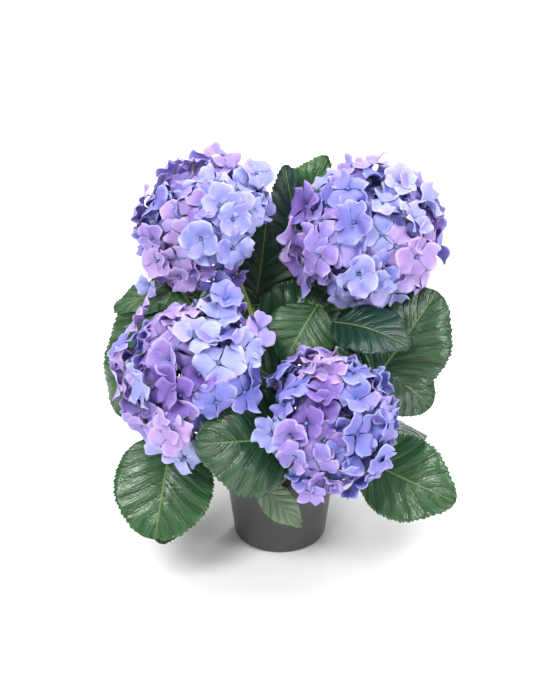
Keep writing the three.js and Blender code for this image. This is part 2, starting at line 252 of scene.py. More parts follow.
@dataclass
class Blank:
    """A plain mesh that is modelled once and shaped again for each of its copies."""

    points: Array
    corners: Array
    counts: Array

    @classmethod
    def taken(cls, model: Object) -> "Blank":
        """Reads a modelled object as a blank and removes the object.

        Args:
            model: The finished mesh object.

        Returns:
            Its vertices and faces.
        """
        mesh = model.data
        points = vertex_places(mesh)
        corners = np.empty(len(mesh.loops), np.int64)
        counts = np.empty(len(mesh.polygons), np.int64)
        mesh.loops.foreach_get("vertex_index", corners)
        mesh.polygons.foreach_get("loop_total", counts)
        bpy.data.objects.remove(model)
        bpy.data.meshes.remove(mesh)
        return cls(points, corners, counts)

    @classmethod
    def sheet(cls, columns: int, rows: int) -> "Blank":
        """Models a square sheet of unit thickness, two units wide and long.

        Args:
            columns: Faces across.
            rows: Faces along.

        Returns:
            The sheet, with its two layers at minus and plus a half.
        """
        deselect()
        bpy.ops.mesh.primitive_grid_add(x_subdivisions=columns, y_subdivisions=rows, size=2)
        model = bpy.context.object
        solidify = model.modifiers.new("thickness", "SOLIDIFY")
        solidify.thickness = 1.0
        solidify.offset = 0.0
        apply_modifiers(model)
        return cls.taken(model)

    @classmethod
    def prism(cls, sides: int, steps: int) -> "Blank":
        """Models a closed prism of unit radius and unit height in even steps.

        Args:
            sides: Faces round it.
            steps: Faces along it.

        Returns:
            The prism, standing on the level at zero.
        """
        deselect()
        bpy.ops.mesh.primitive_circle_add(vertices=sides, radius=1, fill_type="NGON")
        start_modelling()
        for _ in range(steps):
            draw_up(1 / steps)
        end_modelling()
        return cls.taken(bpy.context.object)

    @classmethod
    def ball(cls, subdivisions: int) -> "Blank":
        """Models a faceted ball of unit radius.

        Args:
            subdivisions: How often the twenty faces are divided.

        Returns:
            The ball.
        """
        deselect()
        bpy.ops.mesh.primitive_ico_sphere_add(subdivisions=subdivisions, radius=1)
        return cls.taken(bpy.context.object)

    def lower_faces(self) -> Array:
        """Returns, for each face of a sheet, whether it lies in the lower layer."""
        starts = np.concatenate([[0], np.cumsum(self.counts)[:-1]])
        heights = np.maximum.reduceat(self.points[self.corners, 2], starts)
        return heights < 0


class Joined:
    """Many small copies gathered into the mesh of one piece."""

    def __init__(self) -> None:
        """Starts with no copies."""
        self.points: list[Array] = []
        self.corners: list[Array] = []
        self.counts: list[Array] = []
        self.slots: list[Array] = []
        self.maps: list[Array] = []
        self.marks: dict[str, list[Array]] = {}
        self.total = 0

    def add(
        self,
        blank: Blank,
        points: Array,
        slot: int | Array = 0,
        places: Array | None = None,
        **marks: Array | float,
    ) -> None:
        """Adds one shaped copy of a blank.

        Args:
            blank: The mesh whose faces the copy keeps.
            points: The new places of its vertices.
            slot: The material slot of the copy, or one for each face.
            places: The vertices' places on the piece's own UV map.
            marks: Named numbers, one for each vertex or one for all of them.
        """
        count = len(points)
        self.points.append(points)
        self.corners.append(blank.corners + self.total)
        self.counts.append(blank.counts)
        self.slots.append(np.broadcast_to(slot, len(blank.counts)))
        flat = np.zeros((count, 2)) if places is None else places
        self.maps.append(flat[blank.corners])
        for name, values in marks.items():
            self.marks.setdefault(name, []).append(np.broadcast_to(values, count))
        self.total += count

    def build(self, name: str, materials: list[Material]) -> Object:
        """Makes the piece from all its copies.

        Args:
            name: The name of the piece.
            materials: One material for each slot.

        Returns:
            The new object, smooth shaded, at the origin.
        """
        corners = np.concatenate(self.corners)
        counts = np.concatenate(self.counts)
        mesh = bpy.data.meshes.new(name)
        mesh.vertices.add(self.total)
        mesh.vertices.foreach_set("co", np.concatenate(self.points).ravel())
        mesh.loops.add(len(corners))
        mesh.loops.foreach_set("vertex_index", corners)
        mesh.polygons.add(len(counts))
        mesh.polygons.foreach_set("loop_start", np.concatenate([[0], np.cumsum(counts)[:-1]]))
        mesh.polygons.foreach_set("material_index", np.concatenate(self.slots))
        mesh.polygons.foreach_set("use_smooth", np.ones(len(counts), bool))
        mesh.update(calc_edges=True)
        layer = mesh.uv_layers.new(name="Surface")
        layer.uv.foreach_set("vector", np.concatenate(self.maps).ravel())
        for mark, values in self.marks.items():
            attribute = mesh.attributes.new(mark, "FLOAT", "POINT")
            attribute.data.foreach_set("value", np.concatenate(values))
        for material in materials:
            mesh.materials.append(material)
        return placed(name, mesh)

    def limb(self, prism: Blank, path: Path, radii: Iterable[float], size: float = 1.0) -> None:
        """Adds a prism that is bent along a path.

        Args:
            prism: The blank of a limb.
            path: The line that its axis takes.
            radii: The radius at even steps along it.
            size: A factor on all the radii.
        """
        self.add(prism, bent(prism, path, np.array(radii) * size))


def report(piece: Object) -> None:
    """Writes the name and the triangle count of a finished piece to the log."""
    triangles = sum(len(face.vertices) - 2 for face in piece.data.polygons)
    log.info("%s: %d triangles", piece.name, triangles)


def settle(piece: Object, slot: str, *nodes: str) -> Object:
    """Hands a finished piece to the frame.

    Args:
        piece: The finished piece.
        slot: Not used.
        nodes: The solids that it stands for.

    Returns:
        The same piece.
    """
    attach(piece, BODY)
    if nodes:
        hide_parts(*nodes)
    report(piece)
    return piece


def bent(blank: Blank, path: Path, radii: Array, stretch: Array | None = None) -> Array:
    """Bends a prism along a path.

    Args:
        blank: A prism of unit radius and height.
        path: The line that its axis takes.
        radii: The radius at even steps along it.
        stretch: A factor on the radius for each vertex.

    Returns:
        The places of the prism's vertices.
    """
    share = blank.points[:, 2]
    ways = path.way(share)
    helper = off_axis(unit(path.line[-1] - path.line[0]))
    first = unit_rows(np.cross(helper, ways))
    second = np.cross(ways, first)
    radius = np.interp(share, np.linspace(0, 1, len(radii)), radii)
    if stretch is not None:
        radius = radius * stretch
    across = first * (blank.points[:, :1] * radius[:, None])
    return path.at(share) + across + second * (blank.points[:, 1:2] * radius[:, None])


# -------------------------------------------------------------------------------- node tools


class Nodes:
    """Adds and links the nodes of one tree."""

    def __init__(self, tree: bpy.types.NodeTree) -> None:
        """Starts on an empty tree."""
        self.tree = tree

    def add(self, kind: str, **settings: object) -> bpy.types.Node:
        """Adds a node and sets its properties."""
        node = self.tree.nodes.new(kind)
        for name, value in settings.items():
            setattr(node, name, value)
        return node

    def feed(self, socket: Socket, value: object) -> None:
        """Links a socket to another one, or sets it to a plain value."""
        if isinstance(value, Socket):
            self.tree.links.new(value, socket)
        elif isinstance(value, tuple) and len(value) == 3 and socket.type == "RGBA":
            socket.default_value = (*value, 1.0)
        else:
            socket.default_value = value

    def maths(self, operation: str, *values: object) -> Socket:
        """Adds a Math node and returns its output."""
        node = self.add("ShaderNodeMath", operation=operation)
        for socket, value in zip(node.inputs, values):
            self.feed(socket, value)
        return node.outputs[0]

    def rise(self, value: object, low: float, high: float) -> Socket:
        """Adds a smooth rise from 0 at low to 1 at high and returns its output."""
        node = self.add("ShaderNodeMapRange", interpolation_type="SMOOTHSTEP")
        self.feed(node.inputs["Value"], value)
        node.inputs["From Min"].default_value = low
        node.inputs["From Max"].default_value = high
        return node.outputs["Result"]

    def mix(self, share: object, first: object, second: object) -> Socket:
        """Adds a colour mix and returns its output."""
        node = self.add("ShaderNodeMix", data_type="RGBA")
        self.feed(node.inputs["Factor"], share)
        self.feed(node.inputs[6], first)
        self.feed(node.inputs[7], second)
        return node.outputs[2]

    def noise(self, place: object, scale: object, detail: float = 3.0) -> Socket:
        """Adds a noise texture on a place and returns its height."""
        node = self.add("ShaderNodeTexNoise")
        self.feed(node.inputs["Vector"], place)
        self.feed(node.inputs["Scale"], scale)
        node.inputs["Detail"].default_value = detail
        return node.outputs["Fac"]

    def mark(self, name: str) -> Socket:
        """Adds a node that reads one of the piece's own marks and returns it."""
        return self.add("ShaderNodeAttribute", attribute_name=name).outputs["Fac"]

    def uneven(self, height: object, middle: float, span: float) -> Socket:
        """Adds a value that varies round a middle with a height and returns it."""
        return self.maths("MULTIPLY_ADD", height, span, middle - span / 2)

    def surface(self) -> tuple[Socket, ...]:
        """Adds the piece's own UV map and returns the place on it, its X and its Y."""
        place = self.add("ShaderNodeTexCoord").outputs["UV"]
        split = self.add("ShaderNodeSeparateXYZ")
        self.feed(split.inputs[0], place)
        return place, split.outputs["X"], split.outputs["Y"]

    def group(self, tree: bpy.types.NodeTree, **values: object) -> bpy.types.Node:
        """Adds a node group with its own values."""
        node = self.add("ShaderNodeGroup", node_tree=tree)
        for name, value in values.items():
            self.feed(node.inputs[name], value)
        return node

    def relief(self, height: object, depth: float, under: object = None) -> Socket:
        """Adds a Bump node and returns its normal."""
        node = self.add("ShaderNodeBump")
        node.inputs["Distance"].default_value = depth
        self.feed(node.inputs["Height"], height)
        if under is not None:
            self.feed(node.inputs["Normal"], under)
        return node.outputs["Normal"]


def shared_group(name: str, inputs: list[str], outputs: list[str]) -> tuple[Nodes, dict]:
    """Starts a node group with named number sockets.

    Args:
        name: The name of the group.
        inputs: The names of its inputs.
        outputs: The names of its outputs.

    Returns:
        The tools of its tree, and its input and output sockets by name.
    """
    tree = bpy.data.node_groups.new(name, "ShaderNodeTree")
    for label in inputs:
        tree.interface.new_socket(name=label, in_out="INPUT", socket_type="NodeSocketFloat")
    for label in outputs:
        tree.interface.new_socket(name=label, in_out="OUTPUT", socket_type="NodeSocketFloat")
    nodes = Nodes(tree)
    source = nodes.add("NodeGroupInput")
    target = nodes.add("NodeGroupOutput")
    sockets = {label: source.outputs[label] for label in inputs}
    sockets.update({label: target.inputs[label] for label in outputs})
    return nodes, sockets


def grain_group() -> bpy.types.NodeTree:
    """Builds the fine grain that every moulded or coated surface has."""
    nodes, sockets = shared_group("fine grain", ["Scale"], ["Height", "Patches"])
    place = nodes.add("ShaderNodeTexCoord").outputs["Object"]
    nodes.feed(sockets["Height"], nodes.noise(place, sockets["Scale"], 2.0))
    broad = nodes.noise(place, PATCH_SCALE, 2.0)
    nodes.feed(sockets["Patches"], nodes.rise(broad, *PATCH_BAND))
    return nodes.tree


def weave_group() -> bpy.types.NodeTree:
    """Builds the weave of the petal and leaf cloth: two crossed sets of threads."""
    nodes, sockets = shared_group("cloth weave", ["Threads"], ["Height"])
    _, *ways = nodes.surface()
    turns = [nodes.maths("MULTIPLY", way, sockets["Threads"]) for way in ways]
    waves = [nodes.maths("SINE", turn) for turn in turns]
    nodes.feed(sockets["Height"], nodes.maths("MAXIMUM", *waves))
    return nodes.tree


@dataclass(frozen=True)
class Veins:
    """The side veins of a leaf, in shares of its length and half width."""

    pairs: float = 6.6
    slant: float = 0.44
    bend: float = 0.16
    start: float = 0.35
    fading: float = 0.8
    panel_band: Pair = (0.10, 0.40)
    streaks_along: float = 5.0
    streaks_across: float = 2.2
    streak_band: Pair = (0.3, 0.7)
    midrib_foot: float = 0.045
    midrib_taper: float = 0.03

    def phase(self, share: Array, across: Array) -> Array:
        """Counts the veins up the leaf.

        Args:
            share: How far along the leaf, from 0 to 1.
            across: How far from the midrib, from 0 to 1.

        Returns:
            A number that is whole on each vein.
        """
        along = share - self.slant * across + self.bend * across * across
        return along * self.pairs + self.start

    def group(self) -> bpy.types.NodeTree:
        """Builds the vein pattern that all the leaf finishes read."""
        outputs = ["Vein", "Panel", "Streak", "Midrib"]
        nodes, sockets = shared_group("leaf veins", ["Width"], outputs)
        _, width_share, share = nodes.surface()
        twice = nodes.maths("MULTIPLY_ADD", width_share, 2.0, -1.0)
        across = nodes.maths("ABSOLUTE", twice)
        slanted = nodes.maths("MULTIPLY_ADD", across, -self.slant, share)
        squared = nodes.maths("MULTIPLY", across, across)
        along = nodes.maths("MULTIPLY_ADD", squared, self.bend, slanted)
        phase = nodes.maths("MULTIPLY_ADD", along, self.pairs, self.start)
        apart = nodes.maths("PINGPONG", phase, 0.5)
        fading = nodes.maths("MULTIPLY_ADD", across, -self.fading, 1.0)
        width = nodes.maths("MULTIPLY", sockets["Width"], fading)
        vein = nodes.maths("SUBTRACT", 1.0, nodes.maths("DIVIDE", apart, width))
        nodes.feed(sockets["Vein"], nodes.maths("MAXIMUM", vein, 0.0))
        # Panel rises towards the middle between two veins, where the painted sheen goes.
        nodes.feed(sockets["Panel"], nodes.rise(apart, *self.panel_band))
        lie = nodes.add("ShaderNodeCombineXYZ")
        nodes.feed(lie.inputs["X"], nodes.maths("MULTIPLY", phase, self.streaks_along))
        nodes.feed(lie.inputs["Y"], nodes.maths("MULTIPLY", twice, self.streaks_across))
        drawn = nodes.noise(lie.outputs[0], 1.0)
        nodes.feed(sockets["Streak"], nodes.rise(drawn, *self.streak_band))
        narrow = nodes.maths("MULTIPLY_ADD", share, -self.midrib_taper, self.midrib_foot)
        midrib = nodes.maths("SUBTRACT", 1.0, nodes.maths("DIVIDE", across, narrow))
        nodes.feed(sockets["Midrib"], nodes.maths("MAXIMUM", midrib, 0.0))
        return nodes.tree


def streak_group() -> bpy.types.NodeTree:
    """Builds the fine veins that fan out over a petal from its foot."""
    nodes, sockets = shared_group("petal streaks", ["Lines"], ["Streak"])
    place, width_share, share = nodes.surface()
    offset = nodes.maths("SUBTRACT", width_share, 0.5)
    foot = nodes.maths("ADD", share, STREAK_SOURCE)
    turn = nodes.maths("DIVIDE", offset, foot)
    wobble = nodes.noise(place, WOBBLE_SCALE, 2.0)
    bent_turn = nodes.maths("MULTIPLY_ADD", wobble, STREAK_WOBBLE, turn)
    wave = nodes.maths("SINE", nodes.maths("MULTIPLY", bent_turn, sockets["Lines"]))
    nodes.feed(sockets["Streak"], nodes.rise(wave, 0.2, 1.0))
    return nodes.tree


class Groups:
    """The node groups that several finishes share, each built once."""

    def __init__(self, veins: Veins) -> None:
        """Builds all the groups."""
        self.grain = grain_group()
        self.weave = weave_group()
        self.veins = veins.group()
        self.streaks = streak_group()


def new_material(name: str) -> tuple[Material, Nodes, bpy.types.Node]:
    """Starts a material with one Principled shader.

    Args:
        name: The name of the material.

    Returns:
        The material, the tools of its tree, and the shader node.
    """
    material = bpy.data.materials.new(name)
    material.use_nodes = True
    nodes = Nodes(material.node_tree)
    shader = next(n for n in material.node_tree.nodes if n.type == "BSDF_PRINCIPLED")
    return material, nodes, shader


# ---------------------------------------------------------------------------------- finishes


SOFT_CLOTH = {
    "Roughness": 0.6, "Specular IOR Level": 0.3, "Sheen Weight": 0.08, "Sheen Roughness": 0.4,
    "Subsurface Weight": 0.08, "Subsurface Radius": (0.002, 0.002, 0.003),
    "Subsurface Scale": 1.0,
}


@dataclass(frozen=True)
class PetalFinish:
    """Printed petal cloth, dyed unevenly, with its own throat, a painted highlight on its rim and
    painted shade in its folds.
    """

    name: str
    body: Colour
    shade: Colour
    blush: Colour
    # rim: the colour of the painted highlight along the petal's edge
    rim: Colour
    throat: Colour = (0.46, 0.52, 0.80)
    streaks: float = 46.0
    streak_share: float = 0.08
    streak_depth: float = 0.10 * MM
    threads: float = 420.0
    thread_depth: float = 0.03 * MM

    def material(self, groups: Groups) -> Material:
        """Builds the material.

        Args:
            groups: The shared node groups.

        Returns:
            The new material.
        """
        material, nodes, shader = new_material(f"petal {self.name}")
        streak = nodes.group(groups.streaks, Lines=self.streaks).outputs["Streak"]
        # The darker colour comes from an uneven tone, painted shade in the folds and deep in the
        # bloom, and the fine streaks.
        lined = nodes.maths("MULTIPLY_ADD", streak, self.streak_share, nodes.mark("tint"))
        colour = nodes.mix(nodes.mark("blush"), self.body, self.blush)
        colour = nodes.mix(lined, colour, self.shade)
        colour = nodes.mix(nodes.mark("throat"), colour, self.throat)
        # Painted highlight: the petal's edge is lightened towards the rim colour.
        colour = nodes.mix(nodes.mark("rim"), colour, self.rim)
        nodes.feed(shader.inputs["Base Color"], colour)
        weave = nodes.group(groups.weave, Threads=self.threads).outputs["Height"]
        folds = nodes.relief(streak, self.streak_depth)
        nodes.feed(shader.inputs["Normal"], nodes.relief(weave, self.thread_depth, folds))
        for name, value in SOFT_CLOTH.items():
            shader.inputs[name].default_value = value
        return material


class Hue(Enum):
    """The petal dyes that the florets are dealt."""

    # Each lists body, shade, blush, the painted rim highlight and the throat colour.
    PALE = PetalFinish(
        "pale blue", (0.41, 0.43, 0.81), (0.13, 0.14, 0.57), (0.46, 0.38, 0.78), (0.58, 0.60, 0.92)
    )
    BLUE = PetalFinish(
        "periwinkle", (0.27, 0.28, 0.72), (0.08, 0.08, 0.40), (0.33, 0.25, 0.68),
        (0.48, 0.50, 0.87), (0.17, 0.20, 0.62),
    )
    LILAC = PetalFinish(
        "lilac", (0.41, 0.29, 0.72), (0.16, 0.08, 0.39), (0.31, 0.29, 0.74),
        (0.58, 0.51, 0.88), (0.42, 0.38, 0.76),
    )
    PINK = PetalFinish(
        "pink lilac", (0.50, 0.34, 0.71), (0.24, 0.11, 0.42), (0.41, 0.36, 0.76),
        (0.66, 0.56, 0.88), (0.48, 0.40, 0.74),
    )
    VIOLET = PetalFinish(
        "violet", (0.21, 0.12, 0.47), (0.05, 0.02, 0.17), (0.28, 0.20, 0.58),
        (0.36, 0.27, 0.68), (0.06, 0.035, 0.22),
    )


@dataclass(frozen=True)
class LeafFinish:
    """Coated leaf cloth with pressed veins, and a paler green painted between them as sheen."""

    name: str
    body: Colour
    panel: Colour
    vein: Colour
    roughness: float = 0.24
    unevenness: float = 0.14
    vein_width: float = 0.05
    grain: float = 900.0
    painted_sheen_share: float = 0.6
    patch_share: float = 0.35
    gloss: float = 0.7
    line_share: float = 0.75
    side_vein: float = 0.45
    streak_depth: float = 0.5 * MM
    vein_depth: float = 0.9 * MM
    grain_depth: float = 0.10 * MM

    def material(self, groups: Groups) -> Material:
        """Builds the material.

        Args:
            groups: The shared node groups.

        Returns:
            The new material.
        """
        material, nodes, shader = new_material(f"leaf {self.name}")
        veins = nodes.group(groups.veins, Width=self.vein_width).outputs
        grain = nodes.group(groups.grain, Scale=self.grain).outputs
        # Painted sheen: a paler green mixed in between the veins along streaks, together with
        # random patches.
        sheen_and_patches = nodes.maths("MULTIPLY", veins["Panel"], veins["Streak"])
        sheen_and_patches = nodes.maths("MULTIPLY_ADD", grain["Patches"], self.patch_share, sheen_and_patches)
        share = nodes.maths("MULTIPLY", sheen_and_patches, self.painted_sheen_share)
        colour = nodes.mix(share, self.body, self.panel)
        lines = nodes.maths("MULTIPLY_ADD", veins["Vein"], self.side_vein, veins["Midrib"])
        lines = nodes.maths("MINIMUM", lines, 1.0)
        colour = nodes.mix(nodes.maths("MULTIPLY", lines, self.line_share), colour, self.vein)
        nodes.feed(shader.inputs["Base Color"], colour)
        rough = nodes.uneven(grain["Height"], self.roughness, self.unevenness)
        nodes.feed(shader.inputs["Roughness"], rough)
        sunk = nodes.maths("SUBTRACT", 0.0, veins["Vein"])
        streaked = nodes.relief(veins["Streak"], self.streak_depth)
        pressed = nodes.relief(sunk, self.vein_depth, streaked)
        relief = nodes.relief(grain["Height"], self.grain_depth, pressed)
        nodes.feed(shader.inputs["Normal"], relief)
        shader.inputs["Specular IOR Level"].default_value = self.gloss
        return material


class LeafTone(Enum):
    """The greens that the leaves are dealt."""

    # Each green lists its body, its painted sheen and its veins.
    DARK = LeafFinish("dark", (0.008, 0.045, 0.012), (0.030, 0.105, 0.036), (0.22, 0.32, 0.09))
    MID = LeafFinish("mid", (0.014, 0.070, 0.015), (0.045, 0.140, 0.042), (0.26, 0.38, 0.12))
    # Painted shade: a darker blue-green for the leaves that lie in the shadow of the blooms.
    BLUISH = LeafFinish("bluish", (0.008, 0.042, 0.022), (0.022, 0.080, 0.046), (0.08, 0.17, 0.08))
    BRIGHT = LeafFinish("bright", (0.022, 0.105, 0.018), (0.055, 0.175, 0.040), (0.22, 0.36, 0.10))
    PALE = LeafFinish("pale", (0.135, 0.205, 0.118), (0.235, 0.325, 0.205), (0.36, 0.46, 0.27), 0.5)


# The lower sides; the second colour is their painted sheen.
UNDERSIDE = LeafFinish(
    "underside", (0.045, 0.105, 0.040), (0.070, 0.145, 0.060), (0.20, 0.27, 0.12), 0.6
)


@dataclass(frozen=True)
class PlasticFinish:
    """Moulded or dipped plastic with a fine grain and a second colour in patches."""

    name: str
    body: Colour
    patch: Colour
    roughness: float
    grain: float
    depth: float
    unevenness: float = 0.16

    def material(self, groups: Groups) -> Material:
        """Builds the material.

        Args:
            groups: The shared node groups.

        Returns:
            The new material.
        """
        material, nodes, shader = new_material(self.name)
        grain = nodes.group(groups.grain, Scale=self.grain).outputs
        colour = nodes.mix(grain["Patches"], self.body, self.patch)
        nodes.feed(shader.inputs["Base Color"], colour)
        rough = nodes.uneven(grain["Height"], self.roughness, self.unevenness)
        nodes.feed(shader.inputs["Roughness"], rough)
        nodes.feed(shader.inputs["Normal"], nodes.relief(grain["Height"], self.depth))
        return material


POT_PLASTIC = PlasticFinish(
    "pot plastic", (0.046, 0.046, 0.047), (0.053, 0.053, 0.054), 0.40, 2400.0, 0.02 * MM
)
CAST_COMPOUND = PlasticFinish(
    "cast compound", (0.030, 0.024, 0.019), (0.052, 0.043, 0.034), 0.92, 700.0, 0.8 * MM
)
STEM_SLEEVE = PlasticFinish(
    "stem sleeve", (0.235, 0.300, 0.050), (0.300, 0.340, 0.085), 0.5, 1300.0, 0.10 * MM
)
PETIOLE_SLEEVE = PlasticFinish(
    "petiole sleeve", (0.150, 0.240, 0.055), (0.210, 0.290, 0.080), 0.5, 1500.0, 0.08 * MM
)
BEAD_PAINT = PlasticFinish(
    "bead paint", (0.085, 0.110, 0.420), (0.140, 0.190, 0.560), 0.4, 1600.0, 0.05 * MM
)
STALK_PAINT = PlasticFinish(
    "stalk paint", (0.110, 0.130, 0.045), (0.160, 0.170, 0.080), 0.6, 1300.0, 0.08 * MM
)


# --------------------------------------------------------------------------- pot and filling


@dataclass
class Pot:
    """The tapered pot: round foot, thin wall and a thicker band under the rim."""

    height: float
    rim_radius: float
    base_radius: float = 48.5 * MM
    wall: float = 2.5 * MM
    floor: float = 3.0 * MM
    rounding: float = 4.0 * MM
    band: float = 10.0 * MM
    band_step: float = 1.5 * MM
    edge: float = 0.5 * MM
    sides: int = 96
    crease: float = 35.0

    def wall_radius(self, height: float) -> float:
        """Returns the outer radius of the wall at a height, without the band."""
        share = height / self.height
        return self.base_radius + share * (self.rim_radius - self.band_step - self.base_radius)

    def profile(self) -> list[Pair]:
        """Lists the rings of the wall.

        Returns:
            Radius and height of each ring, from the foot over the rim to the inner floor.
        """
        foot = self.base_radius - self.rounding
        turns = [math.radians(angle) for angle in (0, 22.5, 45, 67.5)]
        rings = [
            (foot + self.rounding * math.sin(a), self.rounding * (1 - math.cos(a))) for a in turns
        ]
        under = self.height - self.band
        rings += [(self.wall_radius(z), z) for z in (self.rounding, 0.5 * under, under)]
        rings += [
            (self.wall_radius(under) + self.band_step, under + 0.4 * self.band_step),
            (self.rim_radius, self.height - self.edge),
            (self.rim_radius - self.edge, self.height),
            (self.rim_radius - self.wall + self.edge, self.height),
            (self.rim_radius - self.wall, self.height - self.edge),
            (self.wall_radius(under) - self.wall, under),
            (self.wall_radius(self.floor) - self.wall, self.floor),
        ]
        return rings

    def build(self, groups: Groups) -> Object:
        """Models the pot by drawing one ring up the wall and down inside.

        Args:
            groups: The shared node groups.

        Returns:
            The finished pot.
        """
        rings = self.profile()
        deselect()
        radius, level = rings[0]
        bpy.ops.mesh.primitive_circle_add(
            vertices=self.sides, radius=radius, fill_type="NGON", location=(0, 0, level)
        )
        piece = bpy.context.object
        bpy.ops.object.transform_apply(location=True)
        start_modelling()
        for next_radius, next_level in rings[1:]:
            draw_up(next_level - level, next_radius / radius)
            radius, level = next_radius, next_level
        end_modelling()
        bpy.ops.object.shade_smooth_by_angle(angle=math.radians(self.crease))
        piece.name = piece.data.name = "pot_shell"
        piece.data.materials.append(POT_PLASTIC.material(groups))
        return settle(piece, "pot", "pot")


@dataclass
class Filling:
    """The cast compound in the pot, rough on top and drawn up a little at each stem."""

    level: float
    radius: float
    roots: list[Pair]
    seed: int = 5
    rings: int = 26
    sides: int = 72
    foot_share: float = 0.9
    foot_level: float = 0.6
    settled: float = 1.2 * MM
    rough_share: float = 0.97
    lumps: Row = (18 * MM, 9 * MM, 4 * MM, 2.2 * MM)
    lump_height: float = 0.045
    drawn_up: float = 1.6 * MM
    drawn_width: float = 6 * MM
    crease: float = 50.0

    def relief(self, points: Array) -> Array:
        """Finds how far the surface stands off the level.

        Args:
            points: The places on the surface.

        Returns:
            One height for each place.
        """
        rng = np.random.default_rng(self.seed)
        height = np.zeros(len(points))
        for size in self.lumps:
            for _ in range(4):
                angle, shift = rng.uniform(0, 2 * math.pi, 2)
                run = points[:, 0] * math.cos(angle) + points[:, 1] * math.sin(angle)
                height += self.lump_height * size * np.sin(2 * math.pi * run / size + shift)
        for x, y in self.roots:
            apart = np.hypot(points[:, 0] - x, points[:, 1] - y)
            height += self.drawn_up * np.exp(-((apart / self.drawn_width) ** 2))
        return height

    def build(self, groups: Groups) -> Object:
        """Models the surface of the filling.

        Args:
            groups: The shared node groups.

        Returns:
            The finished filling.
        """
        deselect()
        bpy.ops.mesh.primitive_circle_add(
            vertices=self.sides, radius=self.radius * self.foot_share, fill_type="NOTHING"
        )
        piece = bpy.context.object
        start_modelling()
        bpy.ops.mesh.fill()
        draw_up(self.level, 1 / self.foot_share)
        for _ in range(1, self.rings):
            bpy.ops.mesh.inset(thickness=self.radius / self.rings)
        end_modelling()
        mesh = piece.data
        points = vertex_places(mesh)
        top = points[:, 2] > 0.5 * self.level
        inside = np.hypot(points[:, 0], points[:, 1]) < self.rough_share * self.radius
        points[top, 2] -= self.settled
        points[~top, 2] += self.level * self.foot_level
        points[top & inside, 2] += self.relief(points[top & inside])
        mesh.vertices.foreach_set("co", points.ravel())
        mesh.update()
        bpy.ops.object.shade_smooth_by_angle(angle=math.radians(self.crease))
        piece.name = mesh.name = "cast_filling"
        mesh.materials.append(CAST_COMPOUND.material(groups))
        return settle(piece, "fill", "pot_fill")


# ------------------------------------------------------------------------------------- stems


@dataclass
class Stem:
    """One wire stem in its plastic sleeve, with a knot where each shoot leaves it."""

    name: str
    path: Path
    knots: list[float]
    root_radius: float = 3.2 * MM
    tip_radius: float = 2.4 * MM
    ridges: int = 5
    ridge_height: float = 0.05
    ridge_turn: float = 14 * MM
    ring_height: float = 0.03
    ring_length: float = 5.5 * MM
    knot_swell: float = 0.34
    knot_length: float = 2.6 * MM
    flare: float = 0.35
    flare_length: float = 3 * MM

    def radius(self, share: Array | float) -> Array | float:
        """Returns the plain radius at a share of the length."""
        return self.root_radius + (self.tip_radius - self.root_radius) * share

    def build(self, blank: Blank, sleeve: Material) -> Object:
        """Models the stem with its ridges, knots and the flare at its foot.

        Args:
            blank: A prism with enough steps for the relief.
            sleeve: The finish of the stems.

        Returns:
            The finished stem.
        """
        share = blank.points[:, 2]
        angle = np.arctan2(blank.points[:, 1], blank.points[:, 0])
        run = share * self.path.length
        wander = 0.6 * np.sin(run / self.ridge_turn)
        stretch = 1 + self.ridge_height * np.cos(self.ridges * angle + wander)
        stretch += self.ring_height * np.sin(run / self.ring_length + 2 * angle)
        for knot in self.knots:
            apart = (run - knot * self.path.length) / self.knot_length
            stretch += self.knot_swell * np.exp(-apart * apart)
        stretch += self.flare * np.exp(-run / self.flare_length)
        radii = self.radius(np.linspace(0, 1, 20))
        joined = Joined()
        joined.add(blank, bent(blank, self.path, radii, stretch))
        piece = joined.build(f"{self.name}_stem", [sleeve])
        return settle(piece, "stem", f"stem_{self.name}")


# ------------------------------------------------------------------------------------ leaves


@dataclass
class Leaf:
    """One leaf, given by its base and the lie of its tip, in millimetres and degrees."""

    base: Place
    bearing: float
    pitch: float
    roll: float
    length: float
    width: float
    arch: float
    tone: LeafTone = LeafTone.DARK
    point: float = 0.25
    shoulder: float = 0.5

    def frame(self) -> tuple[list[Array], Array]:
        """Finds how the leaf lies.

        Returns:
            The control points of its midrib, and the way that its upper side looks.
        """
        bearing, pitch, roll = (math.radians(a) for a in (self.bearing, self.pitch, self.roll))
        flat = math.cos(pitch)
        chord = np.array([flat * math.cos(bearing), flat * math.sin(bearing), math.sin(pitch)])
        level = unit(UP - chord * chord[2])
        face = between(level, np.cross(chord, level), roll)
        start = np.array(self.base) * MM
        tip = start + chord * self.length * MM
        crest = (start + tip) / 2 + face * 2 * self.arch * MM
        return [start, crest, tip], face


